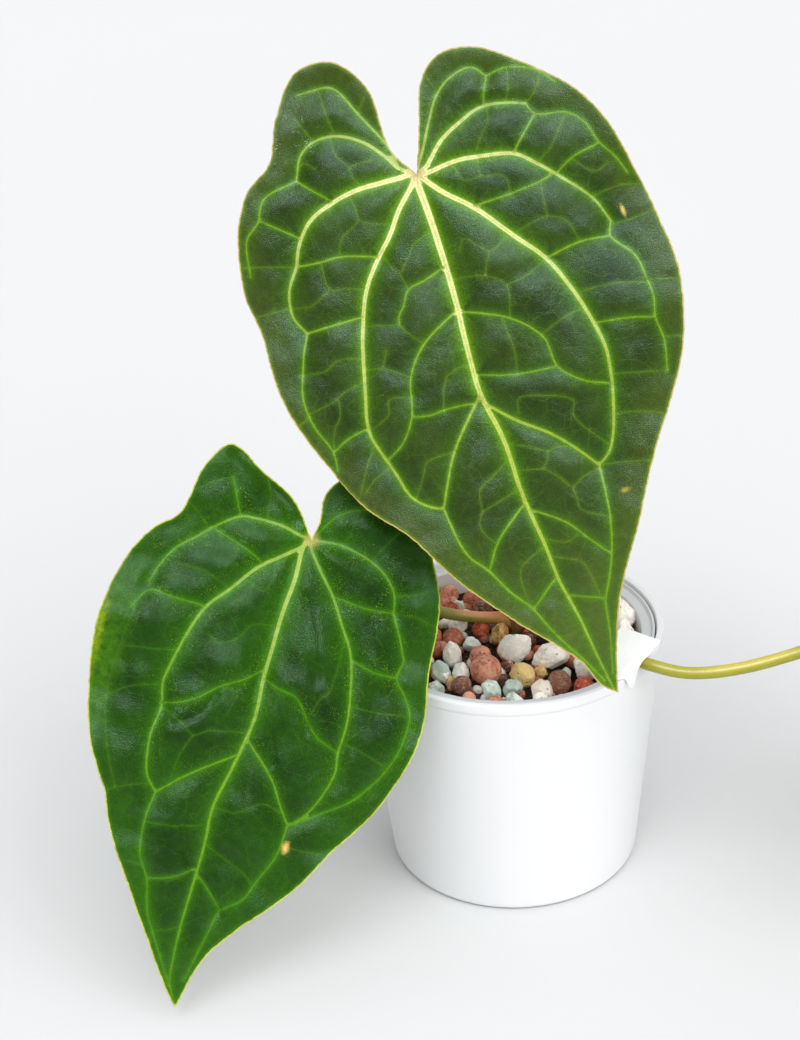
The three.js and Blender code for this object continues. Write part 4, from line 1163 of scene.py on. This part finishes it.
# Colours of a blade by where they lie, with how strongly the less certain ones show
VELVET = {
    "tissue": colour(50, 70, 8), "dark": colour(36, 53, 4), "glow": colour(60, 104, 2),
    "rim": colour(74, 88, 26), "rim_share": 0.55, "tip": colour(98, 122, 40), "tip_share": 0.65,
    "halo": colour(108, 160, 2),
    "fine": colour(98, 128, 30), "side": colour(132, 160, 42), "vein": colour(232, 234, 156),
    "vein_end": colour(186, 202, 84), "groove": colour(170, 156, 80), "heart": colour(206, 160, 116),
    "margin": colour(190, 168, 96), "speckle": colour(150, 180, 60), "speckles": 0.0,
    "dust_at": ((-43, 32), (17, 15)), "dust": colour(206, 210, 176), "under": colour(104, 132, 66),
    "under_dark": colour(84, 114, 52), "rib": colour(176, 196, 112), "gloss": 0.36,
    "shine": colour(214, 240, 240),
}
GLOSSY = {
    **VELVET, "tissue": colour(30, 70, 2), "dark": colour(17, 46, 1), "glow": colour(50, 106, 1),
    "rim": colour(50, 98, 4), "rim_share": 0.4, "tip_share": 0.0, "halo": colour(72, 130, 2),
    "fine": colour(66, 116, 10), "side": colour(92, 138, 20), "vein": colour(168, 190, 92),
    "vein_end": colour(128, 166, 40), "groove": colour(136, 152, 58), "heart": colour(196, 160, 92),
    "margin": colour(186, 190, 72), "speckle": colour(130, 166, 14), "speckles": 0.8,
    "dust_at": None, "under": colour(96, 132, 60), "gloss": 0.28,
    "shine": colour(206, 236, 214),
}
# Small marks: centre, size, how solid it is and its colour
UPPER_MARKS = [((66.5, -41), (0.9, 2.4), 0.9, colour(206, 186, 96)),
               ((31, -138), (2.2, 1.1), 0.3, colour(176, 166, 50))]
LOWER_MARKS = [((-66, -68), (10, 32), 0.42, colour(62, 112, 4)),
               ((-71, -62), (4, 22), 0.36, colour(150, 170, 12)),
               ((23.5, -118), (1.5, 2.6), 0.9, colour(214, 176, 92))]


def placed(at, turn, tilt, spin):
    """Blade's place: it faces the compass direction turn, leans by tilt, spun in its plane."""
    turns = Matrix.Rotation(math.radians(turn), 4, "Z") @ Matrix.Rotation(math.radians(tilt), 4, "X")
    return Matrix.Translation(at) @ turns @ Matrix.Rotation(math.radians(spin), 4, "Z")


def smaller(form, margins, veins, scale):
    """The same kind of leaf, mirrored and smaller."""
    def flip(points):
        return [(-scale * x, scale * y) for x, y in points]
    sizes = {key: form[key] * scale for key in ("length", "half_width", "arch_top", "wave_length")}
    turned_form = {**form, **sizes, "bow": -scale * form["bow"]}
    turned_veins = [[(a * scale, b * scale, flip(path)) for a, b, path in group] for group in veins]
    return turned_form, (flip(margins[1]), flip(margins[0])), turned_veins


FINE_WIDTH = (0.35, 0.25)
upper_veins = [UPPER_MAIN, UPPER_SIDE, [(*FINE_WIDTH, path) for path in UPPER_FINE]]
lower_veins = [LOWER_MAIN, LOWER_SIDE, [(*FINE_WIDTH, path) for path in LOWER_FINE]]
upper_place = placed((-30, -10, 311), -7, 69, 22)
lower_place = placed((-75, -50, 179), 7, 65, -21)
right_place = placed((196, -46, 164), 38, 56, 6)
velvet = blade_finish("velvet_blade", VELVET, 0.26, UPPER_MARKS)
glossy = blade_finish("glossy_blade", GLOSSY, 0.25, LOWER_MARKS)
third = smaller(UPPER_FORM, (UPPER_LEFT, UPPER_RIGHT), upper_veins, 0.8)
plain_velvet = blade_finish("plain_velvet_blade", VELVET, 0.26)
upper_blade = leaf_blade("upper_blade", UPPER_FORM, (UPPER_LEFT, UPPER_RIGHT), upper_veins, [],
                         upper_place, velvet)
lower_blade = leaf_blade("lower_blade", LOWER_FORM, (LOWER_LEFT, LOWER_RIGHT), lower_veins,
                         LOWER_FOLDS, lower_place, glossy)
right_blade = leaf_blade("right_blade", *third, [], right_place, plain_velvet)
new_piece("upper_blade", upper_blade, "upper_leaf")
new_piece("lower_blade", lower_blade, "lower_leaf")
new_piece("right_blade", right_blade, "right_leaf")

# Petioles: smooth round stalks, grown from the crown into the back of each blade, where they
# thicken into a short joint. A node tree sweeps each one along its route.
PETIOLE_RADIUS = 2.5
PETIOLE_JOINT = 0.25
PETIOLE_SIDES = 24
# Shares of a petiole's length where its joint begins and its swollen foot ends
JOINT_FROM = 0.9
FOOT_UNTIL = 0.14
FOOT_SWELL = 0.35
UPPER_ROUTE = [
    (5, 13, 105), (5, 13.5, 112.8), (3.5, 17, 135), (-7, 26, 190), (-17, 21, 245), (-25, 12, 288),
    (-27.5, 4, 302), (-28.4, -5.3, 306.1), (-28.7, -6.4, 306.9),
]
LOWER_ROUTE = [
    (3.5, 12.5, 102), (-0.8, 11.5, 105), (-15, 10, 107.6), (-28, 7, 112), (-48, -4, 130),
    (-66, -19, 151), (-76, -31, 165), (-77.6, -37, 170), (-76.75, -44.3, 173.2), (-76.5, -45.5, 174),
]
RIGHT_ROUTE = [
    (6.5, 10.5, 102), (9.4, 7.8, 105), (28, -13, 109.5), (44, -30, 112.6), (52, -37, 112.8),
    (57, -41, 112.8), (70, -45, 111.4), (85, -47, 113), (105, -47, 117.6), (140, -45, 130),
    (168, -39, 142), (184, -34, 150), (189.2, -36.5, 152.6), (194.3, -43.2, 158.1),
    (194.9, -44.2, 159.3),
]


def stalk_tree():
    """Sweeps a round section along the base line and swells it towards its end."""
    sockets = {"Radius": "Float", "Joint": "Float", "Sides": "Int", "Material": "Material"}
    tree, given = node_group("stalk", sockets)
    line = put(tree, "GeometryNodeMeshToCurve", (given["Geometry"],))
    along = put(tree, "GeometryNodeSplineParameter")
    inputs = {"Geometry": line, "Name": "along", "Value": along}
    line = put(tree, "GeometryNodeStoreNamedAttribute", inputs, data_type="FLOAT")
    rise = put(tree, "ShaderNodeMapRange", {"Value": along, "From Min": JOINT_FROM, "From Max": 1.0},
               interpolation_type="SMOOTHSTEP")
    foot = put(tree, "ShaderNodeMapRange", {"Value": along, "From Min": FOOT_UNTIL, "From Max": 0.0},
               interpolation_type="SMOOTHSTEP")
    swell = put(tree, "ShaderNodeMath", (rise, given["Joint"], 1.0), operation="MULTIPLY_ADD")
    swell = put(tree, "ShaderNodeMath", (foot, FOOT_SWELL, swell), operation="MULTIPLY_ADD")
    bumpy = put(tree, "ShaderNodeTexNoise", {"Scale": 90.0, "Detail": 1.0})
    bumpy = put(tree, "ShaderNodeMapRange", {"Value": bumpy, "To Min": 0.95, "To Max": 1.05})
    radius = put(tree, "ShaderNodeMath", (given["Radius"], swell), operation="MULTIPLY")
    radius = put(tree, "ShaderNodeMath", (radius, bumpy), operation="MULTIPLY")
    ring = put(tree, "GeometryNodeCurvePrimitiveCircle", {"Resolution": given["Sides"], "Radius": 1.0})
    inputs = {"Curve": line, "Profile Curve": ring, "Scale": radius, "Fill Caps": True}
    close_tree(tree, put(tree, "GeometryNodeCurveToMesh", inputs), given)
    return tree


def petiole_skin(name, body, top, base):
    """Smooth stalk skin: greener below, flushed and lighter on top, partly as painted top light, brownish at
    its sheathed foot, flecked.
    """
    finish = Finish(name, 0.4, Specular_IOR_Level=0.5)
    along = finish.field("along")
    facing = put(finish.tree, "ShaderNodeSeparateXYZ",
                 (put(finish.tree, "ShaderNodeNewGeometry", out="Normal"),), "Z")
    # Paler flush on the upward-facing side: partly the stalk's own tint, partly painted top light.
    lit_top_flush = finish.calc("MULTIPLY", finish.band(facing, 0.1, 0.8),
                        finish.band(finish.noise(0.03, 2), 0.2, 0.6))
    tone = finish.mix(finish.noise(0.012, 3), body, [value * 0.78 for value in body[:3]] + [1])
    tone = finish.mix(lit_top_flush, tone, top)
    tone = finish.mix(finish.calc("MULTIPLY", finish.band(along, 0.16, 0.03), 0.85), tone, base)
    fleck = finish.band(finish.cells(0.0018), 0.24, 0.12)
    fleck = finish.calc("MULTIPLY", fleck, finish.band(finish.noise(0.004, 2), 0.5, 0.65))
    tone = finish.mix(finish.calc("MULTIPLY", fleck, 0.4), tone, colour(222, 226, 160))
    tone = finish.mix(finish.calc("MULTIPLY", finish.band(along, 0.93, 0.99), 0.6), tone,
                      colour(150, 170, 70))
    finish.relief(finish.noise(0.0012, 3), 0.00012)
    return finish.paint(tone)


def route_mesh(name, route, step=1.5):
    line = smooth_line(route, step) * MM
    mesh = bpy.data.meshes.new(name)
    mesh.from_pydata(line.tolist(), [(i, i + 1) for i in range(len(line) - 1)], [])
    return mesh


stalk = stalk_tree()
# Each petiole: route, then body, top and foot colours; the top colour is partly painted top light.
PETIOLES = {
    "upper_petiole": (UPPER_ROUTE, (118, 138, 52), (140, 140, 66), (150, 120, 70)),
    "lower_petiole": (LOWER_ROUTE, (134, 140, 58), (226, 156, 112), (190, 124, 70)),
    "right_petiole": (RIGHT_ROUTE, (166, 164, 46), (204, 188, 82), (150, 124, 66)),
}
for name, (route, body, top, base) in PETIOLES.items():
    skin = petiole_skin(name + "_skin", colour(*body), colour(*top), colour(*base))
    values = {"Radius": PETIOLE_RADIUS * MM, "Joint": PETIOLE_JOINT, "Sides": PETIOLE_SIDES,
              "Material": skin}
    mesh = grown(name, route_mesh(name, route), stalk, values)
    new_piece(name + "_stalk", mesh, name)

# Blank white sheet: a small piece of soft paper laid over the right petiole where it crosses
# the rim, so that the rim doesn't mark it. One corner at the front bends down.
PAD_PLACE = (54, -38.6, 112.4)
PAD_TURN = -38.5
PAD_X = (-17, 2)
PAD_Y = (-10, 9)
PAD_FLAP = 0.42
PAD_LIFT = 0.45
PAD_THICKNESS = 0.45
PAD_STEPS = 40


def eased_step(value):
    share = np.clip(value, 0, 1)
    return share * share * (3 - 2 * share)


def pad_height(x, y):
    front = 3.4 - 0.034 * y**2 - 7 * eased_step((x + 2.5) / 3) * (y / PAD_Y[0]) ** 4
    return np.where(y > 0, 3.4 + 0.3 * y, front)


def soft_paper():
    finish = Finish("soft_white_paper", 0.75, Specular_IOR_Level=0.3)
    fibre = finish.noise(0.0005, 5)
    tone = finish.mix(finish.noise(0.006, 3), colour(254, 254, 254), colour(249, 248, 246))
    finish.relief(finish.calc("ADD", fibre, finish.noise(0.003, 3)), 0.00012)
    return finish.paint(tone)


def white_sheet():
    x, y = np.meshgrid(np.linspace(*PAD_X, PAD_STEPS), np.linspace(*PAD_Y, PAD_STEPS))
    x, y = x.ravel(), y.ravel()
    y = np.where(y < 0, y * (1 + PAD_FLAP * eased_step(-x / 3)), y)
    turn = np.array(Matrix.Rotation(math.radians(PAD_TURN), 3, "Z"))
    spread = np.hypot(*(np.stack([x, y], axis=1) @ turn[:2, :2].T + PAD_PLACE[:2]).T)
    level = pad_height(x, y)
    held = POT_HEIGHT - PAD_PLACE[2] + 0.1
    level += np.maximum(held - level, 0) * eased_step((RIM_RADIUS + 1.6 - spread) / 1.2) + PAD_LIFT
    top = np.stack([x, y, level + PAD_THICKNESS], axis=1)
    bottom = np.stack([x, y, level], axis=1)
    count = len(top)
    faces = []
    for j in range(PAD_STEPS - 1):
        for i in range(PAD_STEPS - 1):
            a = j * PAD_STEPS + i
            faces.append((a, a + 1, a + PAD_STEPS + 1))
            faces.append((a, a + PAD_STEPS + 1, a + PAD_STEPS))
    skin = faces + [(count + a, count + c, count + b) for a, b, c in faces]
    skin += [(a, count + a, count + b, b) for a, b in edge_loop(faces)]
    vertices = np.vstack([top, bottom]) @ turn.T + PAD_PLACE
    return mesh_of("white_sheet", vertices, skin, soft_paper(), 50)


new_piece("white_sheet", white_sheet(), "petiole_pad")

# Plain pale floor: a large matt disc just under the pot, against a backdrop as pale as itself.
# The studio light is broad and soft: four far lights shade the plant, and one of them gives
# its leaves their sheen together with a fifth.
FLOOR_RADIUS = 2300
FLOOR_CENTRE_Y = 1300
FLOOR_DROP = 0.2
BACKDROP = (246, 247, 248)


def pale_floor():
    finish = Finish("pale_floor", 1.0, Specular_IOR_Level=0.0)
    tone = finish.mix(finish.noise(0.6, 2), colour(212, 212, 213), colour(214, 214, 214))
    return finish.paint(tone)


rim = [(FLOOR_RADIUS * math.cos(a), FLOOR_CENTRE_Y + FLOOR_RADIUS * math.sin(a), -FLOOR_DROP)
       for a in np.linspace(0, 2 * math.pi, 96, endpoint=False)]
floor = loose("floor", mesh_of("floor", rim, [list(range(len(rim)))], pale_floor()))


def soft_light(name, azimuth, elevation, spread, power, tint=(1, 1, 1), glossy=True, diffuse=True):
    """A far, broad light; azimuth is counted from the front towards the right, in degrees."""
    light = bpy.data.lights.new(name, "SUN")
    light.angle = math.radians(spread)
    light.energy = power
    light.color = tint
    lamp = bpy.data.objects.new(name, light)
    side, height = math.radians(azimuth), math.radians(elevation)
    level = math.cos(height)
    away = Vector((math.sin(side) * level, -math.cos(side) * level, math.sin(height)))
    lamp.rotation_euler = away.to_track_quat("Z", "Y").to_euler()
    lamp.visible_glossy = glossy
    lamp.visible_diffuse = diffuse
    bpy.context.scene.collection.objects.link(lamp)


COOL_WHITE = (0.93, 0.97, 1.0)
SHEEN_WHITE = (0.88, 0.97, 0.96)
soft_light("window", azimuth=38, elevation=47, spread=45, power=0.85, glossy=False)
soft_light("side_window", azimuth=50, elevation=26, spread=60, power=1.2, glossy=False)
soft_light("overhead", azimuth=-10, elevation=60, spread=26, power=0.85, tint=COOL_WHITE)
soft_light("fill", azimuth=-35, elevation=33, spread=50, power=0.45, glossy=False)
soft_light("sheen", azimuth=-10, elevation=58, spread=18, power=2.6, tint=SHEEN_WHITE, diffuse=False)


def sky():
    """Pale surroundings, dimmer towards the viewer and in gloss, behind an even backdrop."""
    world = bpy.data.worlds.new("soft_room")
    bpy.context.scene.world = world
    world.use_nodes = True
    tree = world.node_tree
    background = tree.nodes["Background"]
    direction = put(tree, "ShaderNodeTexCoord", out="Generated")
    parts = put(tree, "ShaderNodeSeparateXYZ", (direction,)).node.outputs
    ahead = put(tree, "ShaderNodeMapRange", {"Value": parts["Y"], "From Min": -0.5, "From Max": 0.3,
                "To Min": 0.45, "To Max": 0.85}, interpolation_type="SMOOTHSTEP")
    above = put(tree, "ShaderNodeMapRange", {"Value": parts["Z"], "From Min": 0.45, "From Max": 0.9,
                "To Min": 0.0, "To Max": 0.85}, interpolation_type="SMOOTHSTEP")
    glow = put(tree, "ShaderNodeMath", (ahead, above), operation="MAXIMUM")
    paths = put(tree, "ShaderNodeLightPath").node.outputs
    dimmed = put(tree, "ShaderNodeMath", (paths["Is Glossy Ray"], -0.6, 1.0), operation="MULTIPLY_ADD")
    glow = put(tree, "ShaderNodeMath", (glow, dimmed), operation="MULTIPLY")
    light = put(tree, "ShaderNodeMix", {0: 1.0, 6: (0.985, 0.99, 1.0, 1.0), 7: glow}, 2,
                data_type="RGBA", blend_type="MULTIPLY")
    inputs = {0: paths["Is Camera Ray"], 6: light, 7: colour(*BACKDROP)}
    shown = put(tree, "ShaderNodeMix", inputs, 2, data_type="RGBA")
    tree.links.new(shown, background.inputs["Color"])


sky()
bpy.context.scene.view_settings.view_transform = "Standard"

# The camera looks down at the pot from the front, as fitted to the pot's rim and foot in an
# upright frame. Angles are in radians, the focal length is in pixels of that frame.
FRAME_HEIGHT = 1040
FOCAL_LENGTH = 1917.17
CAMERA_PLACE = (0, -701.96, 525.93)
YAW, PITCH, ROLL = -0.062, 0.479, -0.057
ahead = Vector((math.sin(YAW) * math.cos(PITCH), math.cos(YAW) * math.cos(PITCH), -math.sin(PITCH)))
level_right = Vector((math.cos(YAW), -math.sin(YAW), 0))
level_up = level_right.cross(ahead)
right = level_right * math.cos(ROLL) + level_up * math.sin(ROLL)
up = level_up * math.cos(ROLL) - level_right * math.sin(ROLL)
camera = bpy.data.objects.new("camera", bpy.data.cameras.new("camera"))
camera.data.sensor_width = 36
camera.data.lens = camera.data.sensor_width * FOCAL_LENGTH / FRAME_HEIGHT
camera.data.clip_start = 0.01
turns = Matrix((right, up, -ahead)).transposed().to_4x4()
camera.matrix_world = Matrix.Translation(Vector(CAMERA_PLACE) * MM) @ turns
bpy.context.scene.collection.objects.link(camera)
bpy.context.scene.camera = camera
